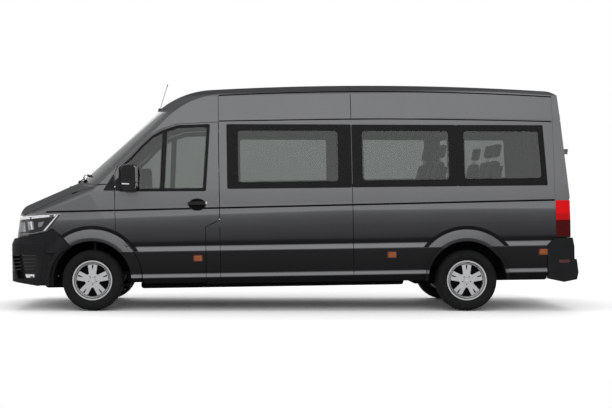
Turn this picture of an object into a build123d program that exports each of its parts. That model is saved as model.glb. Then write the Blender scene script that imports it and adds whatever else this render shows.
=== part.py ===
"""High-roof, long-wheelbase minibus, nose towards -X, driver's (left) side towards -Y.

Lengths are millimetres. The origin is on the ground under the middle of the vehicle. The body
stands nose-down by RAKE about the ground point below the front axle, so everything it carries
is drawn on three body planes: SIDE (rearward a, up z), SECTION (y, up z) and BODY (a, y).
Wheels, knuckles and the rear axle stand on the ground and are drawn on upright planes.
"""
import os
from math import cos, radians, sin, sqrt, tan

from build123d import *

# Driving dimensions -------------------------------------------------------------------------
WHEELBASE = 4490
FRONT_OVERHANG = 1018
REAR_OVERHANG = 1330
TRACK = 1730
RAKE = 0.9

TYRE_RADIUS = 367
TYRE_WIDTH = 232
RIM_RADIUS = 238

ROOF_TOP = 2730
ROOF_APEX_A = 2840
ROOF_LENGTH_RADIUS = 35500
ROOF_CROWN_RADIUS = 3300
SILL_BOTTOM = 305
WALL = 55
SKIN = 20
GLASS = 6
SHUT_GAP = 6
SEAT_GAP = 0.3
GRILLE_DEEP = 45
POCKET_DEEP = 14
GROOVE_DEEP = 5
GROOVE_HALF = 4

ARCH_RADIUS = 472
LIP_RADIUS = 506
FLARE_RADIUS = 612
VALLEY_RADIUS = 644
LIP_HALF = 1014
VALLEY_HALF = 990
FLARE_INNER_HALF = 956
BEAD_LOW_Z = 705

FLOOR_TOP = 600
FLOOR_THICK = 25
CAB_REAR_A = 1545
SIDE_SEAM_A = 3140
CORNER_SEAM_A = 5560
DRIP_Z = 2240
ROOF_SPLIT_DROP = 140
REAR_DOOR_HALF = 800
REAR_DOOR_BOTTOM = 545
REAR_DOOR_TOP = 2430

# Side section: height above ground at the front axle, half width of the body there.
SIDE_SECTION = (
    (SILL_BOTTOM, 945),
    (388, 1000),
    (442, 985),
    (705, 1004),
    (760, 990),
    (800, 1002),
    (1000, 1003),
    (1440, 972),
    (DRIP_Z, 906),
    (2900, 792),
)

# Plan of the nose and tail, all measured behind the front axle.
NOSE_A = -FRONT_OVERHANG + 11
NOSE_BOW = 76
NOSE_HALF = 890
NOSE_CORNER_RADIUS = 300
TAPER_START_A = 260
TAPER_START_HALF = 1012
TAIL_A = 5735
TAIL_CORNER_RADIUS = 90
NOSE_LEAN_Z = 739
NOSE_LEAN = 8.8
TAIL_LEAN_Z = 1290
TAIL_LEAN = 4.9

# Windscreen and bonnet surfaces.
SCREEN_FOOT_A = -237
SCREEN_FOOT_Z = 1558
SCREEN_SLOPE = 41.7
SCREEN_PLAN_RADIUS = 1400
SCREEN_ROLL_RADIUS = 1100
BONNET_REF_A = -400
BONNET_REF_Z = 1492
BONNET_SLOPE = 22.8
BONNET_CROWN_RADIUS = 2360
BONNET_EDGE_RADIUS = 60
BONNET_BACK_GAP = 62

FRONT_AXLE_X = -(FRONT_OVERHANG + WHEELBASE + REAR_OVERHANG) / 2 + FRONT_OVERHANG
REAR_AXLE_X = FRONT_AXLE_X + WHEELBASE
WIDE = 1300
DEEP = -700
LEFT_NEAR = 600
LEFT_FAR = 1300

# Body planes --------------------------------------------------------------------------------
ALONG = Vector(cos(radians(RAKE)), 0, sin(radians(RAKE)))
UP = Vector(-sin(radians(RAKE)), 0, cos(radians(RAKE)))
GROUND_POINT = Vector(FRONT_AXLE_X, 0, 0)
BODY = Plane(origin=GROUND_POINT, x_dir=ALONG, z_dir=UP)
SIDE = Plane(origin=GROUND_POINT, x_dir=ALONG, z_dir=(0, -1, 0))
SECTION = Plane(origin=GROUND_POINT, x_dir=(0, 1, 0), z_dir=ALONG)


def in_body(x, z):
    """Distance behind the front axle and height, in body terms, of an upright point."""
    local = SIDE.to_local_coords(Vector(x, 0, z))
    return local.X, local.Y


FRONT_HUB_A, FRONT_HUB_Z = in_body(FRONT_AXLE_X, TYRE_RADIUS)
REAR_HUB_A, REAR_HUB_Z = in_body(REAR_AXLE_X, TYRE_RADIUS)


def slope_dir(angle, ahead=1):
    """Unit vector in the body's side view that climbs at an angle, rearward for ahead=1."""
    return ALONG * cos(radians(angle)) * ahead + UP * sin(radians(angle))


def from_side(outline, near, far, mode=Mode.INTERSECT):
    """Apply a side-view outline as a prism, between two distances to the left of centre."""
    with BuildSketch(SIDE.offset(near)) as region:
        with BuildLine():
            outline()
        make_face()
    extrude(region.sketch, amount=far - near, mode=mode)


def from_top(outline, low, high, mode=Mode.INTERSECT):
    """Apply a plan outline as a prism between two heights."""
    with BuildSketch(BODY.offset(low)) as region:
        with BuildLine():
            outline()
        make_face()
    extrude(region.sketch, amount=high - low, mode=mode)


def from_front(outline, ahead, behind, mode=Mode.INTERSECT):
    """Apply a front-view outline as a prism between two distances behind the front axle."""
    with BuildSketch(SECTION.offset(ahead)) as region:
        with BuildLine():
            outline()
        make_face()
    extrude(region.sketch, amount=behind - ahead, mode=mode)


def polygon(*corners):
    """Outline of straight edges through the corners given."""
    return lambda: Polyline(*corners, close=True)


def rectangle(low_a, high_a, low_b, high_b):
    """Outline of an upright rectangle."""
    return polygon((low_a, low_b), (high_a, low_b), (high_a, high_b), (low_a, high_b))


def rounded(outline, radius):
    """Sketch face of an outline with every corner rounded."""
    with BuildSketch() as region:
        with BuildLine():
            outline()
        make_face()
        fillet(region.vertices(), radius=radius)
    return region.sketch


def prism(face, plane, near, far, mode=Mode.INTERSECT):
    """Apply a ready face, placed on a plane, as a prism between two offsets."""
    extrude(plane.offset(near) * face, amount=far - near, mode=mode)


def roof_droop(a):
    """How far the roof line has fallen below its highest point."""
    return ROOF_LENGTH_RADIUS - sqrt(ROOF_LENGTH_RADIUS**2 - (a - ROOF_APEX_A) ** 2)


def plan_arc_sag(y, radius=SCREEN_PLAN_RADIUS):
    """How far a bowed front has fallen back at a distance from the centreline."""
    return radius - sqrt(radius**2 - y**2)


def nose_plan(front, rear, inset, bow=NOSE_BOW, corner=NOSE_CORNER_RADIUS):
    """Plan outline with a bowed nose, tapering cheeks and a square tail."""
    half = NOSE_HALF - inset
    start_half = TAPER_START_HALF - inset
    with BuildSketch() as plan:
        with BuildLine():
            Line((rear, start_half), (TAPER_START_A, start_half))
            Line((TAPER_START_A, start_half), (front + bow, half))
            ThreePointArc((front + bow, half), (front, 0), (front + bow, -half))
            Line((front + bow, -half), (TAPER_START_A, -start_half))
            Line((TAPER_START_A, -start_half), (rear, -start_half))
            Line((rear, -start_half), (rear, start_half))
        make_face()
        corners = plan.vertices().sort_by(Axis.X)
        fillet(corners[:2], radius=corner - inset)
        fillet(corners[-2:], radius=TAIL_CORNER_RADIUS - min(inset, TAIL_CORNER_RADIUS - 5))
    return plan.sketch


def envelope(inset, bottom=None):
    """Whole outer form of the body, moved inwards by an inset."""
    floor = SILL_BOTTOM + inset if bottom is None else bottom
    top = ROOF_TOP - inset
    far = TAIL_A + 400
    ahead = NOSE_A - 400
    crown = ROOF_CROWN_RADIUS - inset
    plan = nose_plan(NOSE_A + inset, TAIL_A + 4000, inset)
    upright_plan = BODY.offset(floor) * plan
    leaning_plan = BODY.offset(NOSE_LEAN_Z) * plan
    lean = slope_dir(90 - NOSE_LEAN)

    with BuildPart() as cabin:
        with BuildSketch(SIDE):
            with BuildLine():
                Line((ahead, top - roof_droop(ahead)), (ahead, top - crown))
                Line((ahead, top - crown), (far, top - crown))
                Line((far, top - crown), (far, top - roof_droop(far)))
                ThreePointArc(
                    (far, top - roof_droop(far)), (ROOF_APEX_A, top), (ahead, top - roof_droop(ahead))
                )
            make_face()
        revolve(axis=Axis(SIDE.from_local_coords((0, top - crown)), ALONG))
        rise = SCREEN_FOOT_Z - floor
        foot = SCREEN_FOOT_A + inset / sin(radians(SCREEN_SLOPE)) - rise / tan(radians(SCREEN_SLOPE))
        half = WIDE - 200
        side = foot + plan_arc_sag(half)
        with BuildSketch(BODY.offset(floor)):
            with BuildLine():
                Polyline((side, -half), (far + 4000, -half), (far + 4000, half), (side, half))
                ThreePointArc((side, half), (foot, 0), (side, -half))
            make_face()
        extrude(amount=5200, dir=slope_dir(SCREEN_SLOPE), mode=Mode.INTERSECT)
        roll = cabin.edges().filter_by(lambda e: abs((e @ 0.5).Y) < 5 and (e @ 0.5).Z > DRIP_Z)
        fillet(roll.sort_by(Axis.X)[0], radius=SCREEN_ROLL_RADIUS)
        from_side(rectangle(NOSE_A + 500, far, DEEP, top + 100), -WIDE, WIDE)
        extrude(upright_plan, amount=3000, mode=Mode.INTERSECT)
        extrude(leaning_plan, amount=3000, dir=lean, both=True, mode=Mode.INTERSECT)

    with BuildPart() as nose:
        side_z = BONNET_REF_Z - inset - plan_arc_sag(WIDE - 200, BONNET_CROWN_RADIUS)
        with BuildSketch(SECTION.offset(BONNET_REF_A)):
            with BuildLine():
                Polyline((-half, side_z), (-half, DEEP), (half, DEEP), (half, side_z))
                ThreePointArc((half, side_z), (0, BONNET_REF_Z - inset), (-half, side_z))
            make_face()
        extrude(amount=1100, dir=slope_dir(BONNET_SLOPE), both=True)
        extrude(upright_plan, amount=3000, mode=Mode.INTERSECT)
        extrude(leaning_plan, amount=3000, dir=lean, both=True, mode=Mode.INTERSECT)
        if BONNET_EDGE_RADIUS > inset:
            lip = nose.edges().filter_by(
                lambda e: (e @ 0.5).Z > NOSE_LEAN_Z + 200 and (e @ 0.5).X < FRONT_AXLE_X - 700
                and abs((e @ 0.02).Z - (e @ 0.98).Z) < 120
            )
            fillet(lip, radius=BONNET_EDGE_RADIUS - inset)

    with BuildPart() as form:
        add(cabin.part)
        add(nose.part)
        section = [(half_w - inset, z) for z, half_w in SIDE_SECTION]
        section[0] = (section[0][0], floor)
        left = [(-y, z) for y, z in reversed(section)]
        from_front(polygon(*section, *left), ahead, far)
        tail = nose_plan(ahead - 2500, TAIL_A - inset, inset)
        extrude(BODY.offset(floor) * tail, amount=3000, mode=Mode.INTERSECT)
        lean = slope_dir(90 - TAIL_LEAN, ahead=-1)
        extrude(BODY.offset(TAIL_LEAN_Z) * tail, amount=2500, dir=lean, both=True, mode=Mode.INTERSECT)
    return form.part


OUTER = envelope(0)
CABIN_SPACE = envelope(WALL, DEEP + 800)
SKIN_SPACE = envelope(SKIN, DEEP + 800)
LINER_SPACE = envelope(SKIN + SEAT_GAP, DEEP + 800)
GRILLE_BACK = envelope(GRILLE_DEEP, DEEP + 800)
POCKET_SPACE = envelope(POCKET_DEEP, DEEP + 800)
GROOVE_SPACE = envelope(GROOVE_DEEP)
PANE_SPACE = envelope(GLASS)
REBATE_SPACE = envelope(GLASS + SEAT_GAP)

# Outlines in the side view, (a, z) ------------------------------------------------------------
DOOR_FRONT_A = 290
DOOR_REAR_A = CAB_REAR_A - SHUT_GAP / 2
FLAP_FRONT_A = 1374
FLAP_TOP_Z = 990
PILLAR_RUN = ((299, 1665), (331, 1726), (491, 1858), (615, 1991), (739, 2102), (863, 2173), (1050, 2229))
DOOR_TOP_Z = 2246
DOOR_ARCH_RADIUS = 606
DOOR_BOTTOM_Z = 318
BELT_Z = 1447
BONNET_SEAM = ((-868, 1150), (-598, 1262), (-294, 1408), (15, 1486), (110, 1512))
FENDER_TOP_Z = 1520


def offset_run(run, rearward, down):
    """A run of points moved rearward and down by a gap."""
    return tuple((a + rearward, z - down) for a, z in run)


def door_outline(gap):
    """Front door outline, shrunk by a gap on every side."""
    arch = DOOR_ARCH_RADIUS + gap
    foot = (FRONT_HUB_A + sqrt(arch**2 - (FRONT_HUB_Z - DOOR_BOTTOM_Z - gap) ** 2), DOOR_BOTTOM_Z + gap)
    shoulder_angle = radians(48)
    shoulder = (FRONT_HUB_A + arch * cos(shoulder_angle), FRONT_HUB_Z + arch * sin(shoulder_angle))
    mid_angle = radians(22)
    mid = (FRONT_HUB_A + arch * cos(mid_angle), FRONT_HUB_Z + arch * sin(mid_angle))

    def draw():
        pillar = offset_run(PILLAR_RUN, gap * 0.7, gap * 0.7)
        Polyline(
            shoulder,
            (DOOR_FRONT_A + gap + 8, 960),
            (DOOR_FRONT_A + gap, 1240),
            *pillar,
            (DOOR_REAR_A - gap, DOOR_TOP_Z - gap),
            (DOOR_REAR_A - gap, FLAP_TOP_Z + 78 + gap),
            (FLAP_FRONT_A - gap, FLAP_TOP_Z + gap),
            (FLAP_FRONT_A - gap, DOOR_BOTTOM_Z + gap),
            foot,
        )
        ThreePointArc(foot, mid, shoulder)

    return draw


def on_right(piece):
    """Mirror image of a left-hand piece."""
    return mirror(piece, about=Plane.XZ, mode=Mode.PRIVATE)


def arch_ring(hub_a, hub_z, profile, toe, low_z):
    """Ring round a left-hand arch from a (radius, half width) profile, above a height."""
    hub = SIDE.from_local_coords((hub_a, hub_z, 0))
    with BuildPart() as ring:
        with BuildSketch(Plane(origin=hub, x_dir=UP, z_dir=ALONG)):
            with BuildLine():
                Polyline(*profile, close=True)
            make_face()
        revolve(axis=Axis(hub, (0, 1, 0)))
    turned = ring.part.rotate(Axis(hub, (0, 0, 1)), toe)
    with BuildPart() as kept:
        add(turned)
        from_side(rectangle(hub_a - 800, hub_a + 800, low_z, 2000), 0, LEFT_FAR)
    return kept.part


def arch_flare(hub_a, hub_z, inner_half, toe):
    """Raised band above the bead line and, all round, the narrow lip of an arch."""
    band = (
        (ARCH_RADIUS - 12, inner_half),
        (ARCH_RADIUS - 12, LIP_HALF - 4),
        (LIP_RADIUS, LIP_HALF),
        (FLARE_RADIUS, VALLEY_HALF),
        (FLARE_RADIUS, inner_half),
    )
    lip = (
        (ARCH_RADIUS - 12, inner_half),
        (ARCH_RADIUS - 12, LIP_HALF + 4),
        (LIP_RADIUS - 6, LIP_HALF + 8),
        (LIP_RADIUS, LIP_HALF - 4),
        (LIP_RADIUS, inner_half),
    )
    with BuildPart() as flare:
        add(arch_ring(hub_a, hub_z, band, toe, BEAD_LOW_Z))
        add(arch_ring(hub_a, hub_z, lip, toe, DEEP))
    return flare.part


def arch_valley(hub_a, hub_z):
    """What is cut away outside an arch's raised band, down to the valley round it."""
    profile = (
        (VALLEY_RADIUS, 1003),
        (FLARE_RADIUS, VALLEY_HALF),
        (LIP_RADIUS, LIP_HALF),
        (LIP_RADIUS, 1100),
        (VALLEY_RADIUS, 1100),
    )
    return arch_ring(hub_a, hub_z, profile, 0, BEAD_LOW_Z)


def groove(outline, near, far):
    """Shallow groove along a side-view outline, cut to the groove's depth."""
    with BuildPart() as cut:
        from_side(outline, near, far, Mode.ADD)
        add(GROOVE_SPACE, mode=Mode.SUBTRACT)
    return cut.part


def level_band(half, *run):
    """Outline of a level band of a half height about a run of points."""
    above = [(a, z + half) for a, z in reversed(run)]
    return polygon(*[(a, z - half) for a, z in run], *above)


# Front doors --------------------------------------------------------------------------------
WINDOW_CORNER = 26
DOOR_WINDOW_FRONT = (
    (395, BELT_Z + 8),
    (835, BELT_Z + 8),
    (873, 2126),
    (754, 2060),
    (636, 1954),
    (510, 1822),
    (395, 1722),
)
DOOR_WINDOW_REAR = ((885, BELT_Z + 8), (1352, BELT_Z + 2), (1406, 2186), (1060, 2178), (926, 2140))


def window_face(points, corner):
    """Window opening face with rounded corners."""
    return rounded(polygon(*points), corner)


def pane_seat(face, plane, near, far):
    """Rebate that takes a pane: its face grown by the seat gap, down to the pane's back."""
    grown = offset(face, amount=SEAT_GAP, kind=Kind.INTERSECTION, mode=Mode.PRIVATE)
    with BuildPart() as seat:
        prism(grown, plane, near, far, Mode.ADD)
        add(REBATE_SPACE, mode=Mode.SUBTRACT)
    return seat.part


DOOR_WINDOWS = (window_face(DOOR_WINDOW_FRONT, 12), window_face(DOOR_WINDOW_REAR, WINDOW_CORNER))
DOOR_PANE = window_face(
    (
        (350, BELT_Z - 12),
        (1376, BELT_Z - 22),
        (1434, 2214),
        (1056, 2206),
        (872, 2150),
        (750, 2084),
        (628, 1974),
        (504, 1841),
        (350, 1706),
    ),
    14,
)
BELT_LINE = ((-330, 1197), (TAIL_A + 100, 1247))
BELT_LINE_HALF = 9
DRIP_LINE = ((CAB_REAR_A - 10, 2259), (4365, 2244), (5550, 2201), (TAIL_A + 50, 2194))
front_valley = arch_valley(FRONT_HUB_A, FRONT_HUB_Z)
rear_valley = arch_valley(REAR_HUB_A, REAR_HUB_Z)
belt_groove = groove(level_band(BELT_LINE_HALF, *BELT_LINE), LEFT_NEAR, LEFT_FAR)
drip_groove = groove(level_band(GROOVE_HALF, *DRIP_LINE), LEFT_NEAR, LEFT_FAR)
door_pane_seat = pane_seat(DOOR_PANE, SIDE, LEFT_NEAR, LEFT_FAR)

with BuildPart() as left_front_door:
    add(OUTER)
    add(front_valley, mode=Mode.SUBTRACT)
    add(belt_groove, mode=Mode.SUBTRACT)
    from_side(door_outline(SHUT_GAP / 2), LEFT_NEAR, LEFT_FAR)
    add(CABIN_SPACE, mode=Mode.SUBTRACT)
    for opening in DOOR_WINDOWS:
        prism(opening, SIDE, LEFT_NEAR, LEFT_FAR, Mode.SUBTRACT)
    add(door_pane_seat, mode=Mode.SUBTRACT)

with BuildPart() as left_door_window:
    add(OUTER)
    prism(DOOR_PANE, SIDE, LEFT_NEAR, LEFT_FAR)
    add(PANE_SPACE, mode=Mode.SUBTRACT)

# Door mirrors -------------------------------------------------------------------------------
MIRROR_OUT = 1195
MIRROR_CENTRE = (478, 1590)
MIRROR_SIZE = (205, 330)
MIRROR_DEEP = 170

with BuildPart() as left_mirror:
    with BuildSketch(SIDE.offset(MIRROR_OUT - MIRROR_DEEP)):
        with Locations(MIRROR_CENTRE):
            RectangleRounded(*MIRROR_SIZE, 60)
    with BuildSketch(SIDE.offset(MIRROR_OUT)):
        with Locations(MIRROR_CENTRE):
            RectangleRounded(MIRROR_SIZE[0] - 40, MIRROR_SIZE[1] - 40, 50)
    loft()
    with BuildSketch(SIDE.offset(900)):
        with Locations((430, 1500)):
            RectangleRounded(130, 70, 30)
    extrude(amount=MIRROR_OUT - 900 - 60)
    add(OUTER, mode=Mode.SUBTRACT)
    add(left_door_window.part, mode=Mode.SUBTRACT)

# Side panels, sliding door and fixed side windows ---------------------------------------------
PANE_TOP_Z = 2213
PANE_BOTTOM_Z = 1443
PANE_TOP_FALL = 0.0185
PANE_BOTTOM_FALL = 0.005
PANE_START_A = 1645
LIGHT_MARGIN_TOP = 78
LIGHT_MARGIN_BOTTOM = 74
LIGHT_CORNER = 45

# Side panes: front edge, rear edge, clear light's front and rear edge, lean of the rear edge.
SIDE_PANES = (
    (PANE_START_A, 3128, 1779, 2968, 0),
    (3152, 4392, 3271, 4298, 0),
    (4408, 5476, 4491, 5404, 38),
)


def pane_z(a, top):
    """Height of the pane band's upper or lower edge at a distance behind the front axle."""
    if top:
        return PANE_TOP_Z - PANE_TOP_FALL * (a - PANE_START_A)
    return PANE_BOTTOM_Z - PANE_BOTTOM_FALL * (a - PANE_START_A)


def side_pane(front, rear, lean):
    """Face of one fixed side pane."""
    corners = (
        (front, pane_z(front, False)),
        (rear, pane_z(rear, False)),
        (rear - lean, pane_z(rear, True)),
        (front, pane_z(front, True)),
    )
    return rounded(polygon(*corners), 12)


def side_light(front, rear, lean):
    """Face of the opening behind one fixed side pane."""
    low = PANE_BOTTOM_Z + LIGHT_MARGIN_BOTTOM
    corners = (
        (front, low),
        (rear, low),
        (rear - lean, pane_z(rear, True) - LIGHT_MARGIN_TOP),
        (front, pane_z(front, True) - LIGHT_MARGIN_TOP),
    )
    return rounded(polygon(*corners), LIGHT_CORNER)


def glaze(panel, panes):
    """Cut the lights and the rebates of some side panes into a panel."""
    lights = [side_light(fore, aft, lean * 0.8) for _, _, fore, aft, lean in panes]
    faces = [side_pane(front, rear, lean) for front, rear, _, _, lean in panes]
    seats = [pane_seat(face, SIDE, LEFT_NEAR, LEFT_FAR) for face in faces]
    with BuildPart() as glazed:
        add(panel)
        for light in lights:
            prism(light, SIDE, LEFT_NEAR, LEFT_FAR, Mode.SUBTRACT)
        for seat in seats:
            add(seat, mode=Mode.SUBTRACT)
    return glazed.part


def side_glass(front, rear, lean):
    """One left-hand fixed side pane."""
    with BuildPart() as pane:
        add(OUTER)
        prism(side_pane(front, rear, lean), SIDE, LEFT_NEAR, LEFT_FAR)
        add(PANE_SPACE, mode=Mode.SUBTRACT)
    return pane.part


HALF_GAP = SHUT_GAP / 2
SLIDE_BOTTOM_Z = DOOR_BOTTOM_Z
SLIDE_TOP_Z = DOOR_TOP_Z


with BuildPart() as rear_arch_void:
    with BuildSketch(SIDE.offset(LEFT_NEAR)):
        with Locations((REAR_HUB_A, REAR_HUB_Z)):
            Circle(ARCH_RADIUS)
    extrude(amount=LEFT_FAR - LEFT_NEAR)

with BuildPart() as front_arch_void:
    with BuildSketch(SIDE.offset(LEFT_NEAR - 100)):
        with Locations((FRONT_HUB_A, FRONT_HUB_Z)):
            Circle(ARCH_RADIUS)
    extrude(amount=LEFT_FAR - LEFT_NEAR + 100)


seam_grooves = [
    groove(rectangle(a - GROOVE_HALF, a + GROOVE_HALF, low, ROOF_TOP + 50), -WIDE, WIDE)
    for a, low in ((SIDE_SEAM_A, 392), (CORNER_SEAM_A, 850))
]


def above_split(seat):
    """Side-view outline of everything above the joint between sides and roof."""
    first, last = CAB_REAR_A - HALF_GAP + SEAT_GAP, TAIL_A + 100
    level = ROOF_TOP - ROOF_SPLIT_DROP - seat

    def draw():
        Polyline(
            (last, level - roof_droop(last)), (last, ROOF_TOP + 50), (first, ROOF_TOP + 50),
            (first, level - roof_droop(first)),
        )
        ThreePointArc(
            (first, level - roof_droop(first)), (ROOF_APEX_A, level), (last, level - roof_droop(last))
        )

    return draw


rear_flare = arch_flare(REAR_HUB_A, REAR_HUB_Z, FLARE_INNER_HALF, 0)
with BuildPart() as trimmed_flare:
    add(rear_flare)
    from_side(
        rectangle(FLAP_FRONT_A + HALF_GAP, 5455 - HALF_GAP, SILL_BOTTOM, ROOF_TOP), LEFT_NEAR, LEFT_FAR
    )
    add(rear_arch_void.part, mode=Mode.SUBTRACT)

with BuildPart() as left_whole_side:
    add(OUTER)
    add(rear_valley, mode=Mode.SUBTRACT)
    add(belt_groove, mode=Mode.SUBTRACT)
    add(drip_groove, mode=Mode.SUBTRACT)
    from_side(
        polygon(
            (FLAP_FRONT_A + HALF_GAP, SILL_BOTTOM),
            (FLAP_FRONT_A + HALF_GAP, FLAP_TOP_Z - HALF_GAP),
            (CAB_REAR_A + HALF_GAP, FLAP_TOP_Z + 78 - HALF_GAP),
            (CAB_REAR_A + HALF_GAP, ROOF_TOP),
            (TAIL_A + 100, ROOF_TOP),
            (TAIL_A + 100, 793 + HALF_GAP),
            (5545, 793 + HALF_GAP),
            (5455 - HALF_GAP, 702 + HALF_GAP),
            (5455 - HALF_GAP, SILL_BOTTOM),
        ),
        LEFT_NEAR,
        LEFT_FAR,
    )
    add(CABIN_SPACE, mode=Mode.SUBTRACT)
    add(rear_arch_void.part, mode=Mode.SUBTRACT)
    add(trimmed_flare.part)
    from_front(
        rectangle(-(REAR_DOOR_HALF + HALF_GAP), 0, 0, ROOF_TOP),
        TAIL_A - 300,
        TAIL_A + 200,
        Mode.SUBTRACT,
    )
    from_side(above_split(SEAT_GAP), LEFT_NEAR, LEFT_FAR, Mode.SUBTRACT)
    for seam in seam_grooves:
        add(seam, mode=Mode.SUBTRACT)
left_side = glaze(left_whole_side.part, SIDE_PANES)


slide_hole = rectangle(CAB_REAR_A, SIDE_SEAM_A + HALF_GAP, SLIDE_BOTTOM_Z, SLIDE_TOP_Z)
slide_leaf = rectangle(
    CAB_REAR_A + HALF_GAP, SIDE_SEAM_A - HALF_GAP, SLIDE_BOTTOM_Z + SHUT_GAP, SLIDE_TOP_Z - SHUT_GAP
)

with BuildPart() as side_with_doorway:
    add(left_side)
    from_side(slide_hole, LEFT_NEAR, LEFT_FAR, Mode.SUBTRACT)

with BuildPart() as slide_on_left:
    add(left_side)
    from_side(slide_leaf, LEFT_NEAR, LEFT_FAR)

with BuildPart() as sliding_door:
    add(on_right(slide_on_left.part))

left_panes = [side_glass(front, rear, lean) for front, rear, _, _, lean in SIDE_PANES]
with BuildPart() as side_windows:
    for pane in left_panes:
        add(pane)
        add(on_right(pane))

# Roof, cab frame and windscreen ---------------------------------------------------------------
header_half = REAR_DOOR_HALF + HALF_GAP
with BuildPart() as roof_zone:
    from_side(above_split(0), -WIDE, WIDE, Mode.ADD)
    from_side(
        rectangle(TAIL_A - 250, TAIL_A + 100, REAR_DOOR_TOP + HALF_GAP, ROOF_TOP),
        -header_half,
        header_half,
        Mode.ADD,
    )

with BuildPart() as roof_panel:
    add(OUTER)
    for seam in seam_grooves:
        add(seam, mode=Mode.SUBTRACT)
    add(roof_zone.part, mode=Mode.INTERSECT)
    add(CABIN_SPACE, mode=Mode.SUBTRACT)

SCREEN_BOTTOM = (850, 1530, 1588)
SCREEN_TOP = (782, 2385, 2425)
SCREEN_MARGIN = 42
COWL_HALF = 850
COWL_LOW_Z = 1400


def screen_outline(margin):
    """Windscreen outline seen from ahead, shrunk by a margin."""
    low_half, low_z, low_mid = SCREEN_BOTTOM
    top_half, top_z, top_mid = SCREEN_TOP

    def draw():
        low = low_half - margin
        high = top_half - margin
        ThreePointArc((-low, low_z + margin), (0, low_mid + margin), (low, low_z + margin))
        Line((low, low_z + margin), (high, top_z - margin))
        ThreePointArc((high, top_z - margin), (0, top_mid - margin), (-high, top_z - margin))
        Line((-high, top_z - margin), (-low, low_z + margin))

    return draw


def screen_face(margin, corner):
    """Windscreen face with rounded corners."""
    return rounded(screen_outline(margin), corner)


def bonnet_back(gap):
    """Plan outline of everything ahead of the bonnet's rear edge."""
    half = WIDE - 200
    edge = SCREEN_FOOT_A - BONNET_BACK_GAP - gap
    side = edge + plan_arc_sag(half)

    def draw():
        Polyline((side, half), (NOSE_A - 200, half), (NOSE_A - 200, -half), (side, -half))
        ThreePointArc((side, -half), (edge, 0), (side, half))

    return draw


with BuildPart() as ahead_of_cowl:
    from_top(bonnet_back(-HALF_GAP), 0, ROOF_TOP, Mode.ADD)

with BuildPart() as windscreen:
    add(OUTER)
    prism(screen_face(0, 60), SECTION, NOSE_A + 400, CAB_REAR_A)
    add(PANE_SPACE, mode=Mode.SUBTRACT)

BONNET_HINGE_Y = (500, 560)
BONNET_HINGE_A = (-290, -180)
BONNET_HINGE_LOW_Z = 1478
PILLAR_STEP = -HALF_GAP * 0.7 - 1
with BuildPart() as cab_zone:
    from_side(
        polygon(
            (NOSE_A + 500, FENDER_TOP_Z),
            (DOOR_FRONT_A - HALF_GAP, FENDER_TOP_Z),
            *offset_run(PILLAR_RUN, PILLAR_STEP, PILLAR_STEP),
            (CAB_REAR_A - HALF_GAP, DOOR_TOP_Z + HALF_GAP),
            (CAB_REAR_A - HALF_GAP, ROOF_TOP + 100),
            (NOSE_A + 500, ROOF_TOP + 100),
        ),
        -WIDE,
        WIDE,
        Mode.ADD,
    )
    from_side(
        rectangle(SCREEN_FOOT_A - 200, SCREEN_FOOT_A + 420, COWL_LOW_Z, FENDER_TOP_Z + 1),
        -COWL_HALF,
        COWL_HALF,
        Mode.ADD,
    )

with BuildPart() as bonnet_hinges:
    for near, far_y in (BONNET_HINGE_Y, (-BONNET_HINGE_Y[1], -BONNET_HINGE_Y[0])):
        from_side(rectangle(*BONNET_HINGE_A, BONNET_HINGE_LOW_Z, ROOF_TOP), near, far_y, Mode.ADD)
    add(LINER_SPACE, mode=Mode.INTERSECT)

screen_seat = pane_seat(screen_face(0, 60), SECTION, NOSE_A + 400, CAB_REAR_A)
with BuildPart() as cab_frame:
    add(OUTER)
    add(cab_zone.part, mode=Mode.INTERSECT)
    add(CABIN_SPACE, mode=Mode.SUBTRACT)
    add(ahead_of_cowl.part, mode=Mode.SUBTRACT)
    prism(screen_face(SCREEN_MARGIN, 40), SECTION, NOSE_A + 400, CAB_REAR_A, Mode.SUBTRACT)
    add(screen_seat, mode=Mode.SUBTRACT)
    add(bonnet_hinges.part)

# Bonnet, fenders, lamps, grille and front bumper ------------------------------------------------
GRILLE_HALF = 650
GRILLE_LOW_Z = 886
GRILLE_HIGH_Z = 1122
GRILLE_SLOTS = 4
LAMP_OUTLINE = ((-1300, 885), (-944, 885), (-534, 958), (-374, 1166), (-866, 1130), (-1300, 1125))
LAMP_DEEP = 80
LAMP_SEAM_GAP = 4

with BuildPart() as bonnet:
    add(OUTER)
    from_side(
        polygon(
            (NOSE_A - 200, GRILLE_HIGH_Z + SHUT_GAP),
            *BONNET_SEAM,
            (BONNET_SEAM[-1][0], ROOF_TOP),
            (NOSE_A - 200, ROOF_TOP),
        ),
        -WIDE,
        WIDE,
    )
    add(SKIN_SPACE, mode=Mode.SUBTRACT)
    from_top(bonnet_back(HALF_GAP), 0, ROOF_TOP)

FENDER_FRONT = ((-228, 772), (-277, 824), (-337, 890), (-468, 998), (-526, 966), (-362, 1172), (-858, 1140))
BUMPER_TOP = ((-1300, 879), (-944, 879), (-532, 952), (-470, 990), (-344, 884), (-283, 818), (-234, 766))
BUMPER_FOOT = ((-440, SILL_BOTTOM), (-698, 314), (-985, 366), (-1300, 366))
BUMPER_BOW = 30
BUMPER_CORNER_RADIUS = 150
BUMPER_SHELF_Z = 812
BUMPER_SHELF_RISE = 100
BUMPER_SHELF_TAPER = 24
BUMPER_NOSE_REAR_A = -640


front_flare = arch_flare(FRONT_HUB_A, FRONT_HUB_Z, 930, -3)


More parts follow.
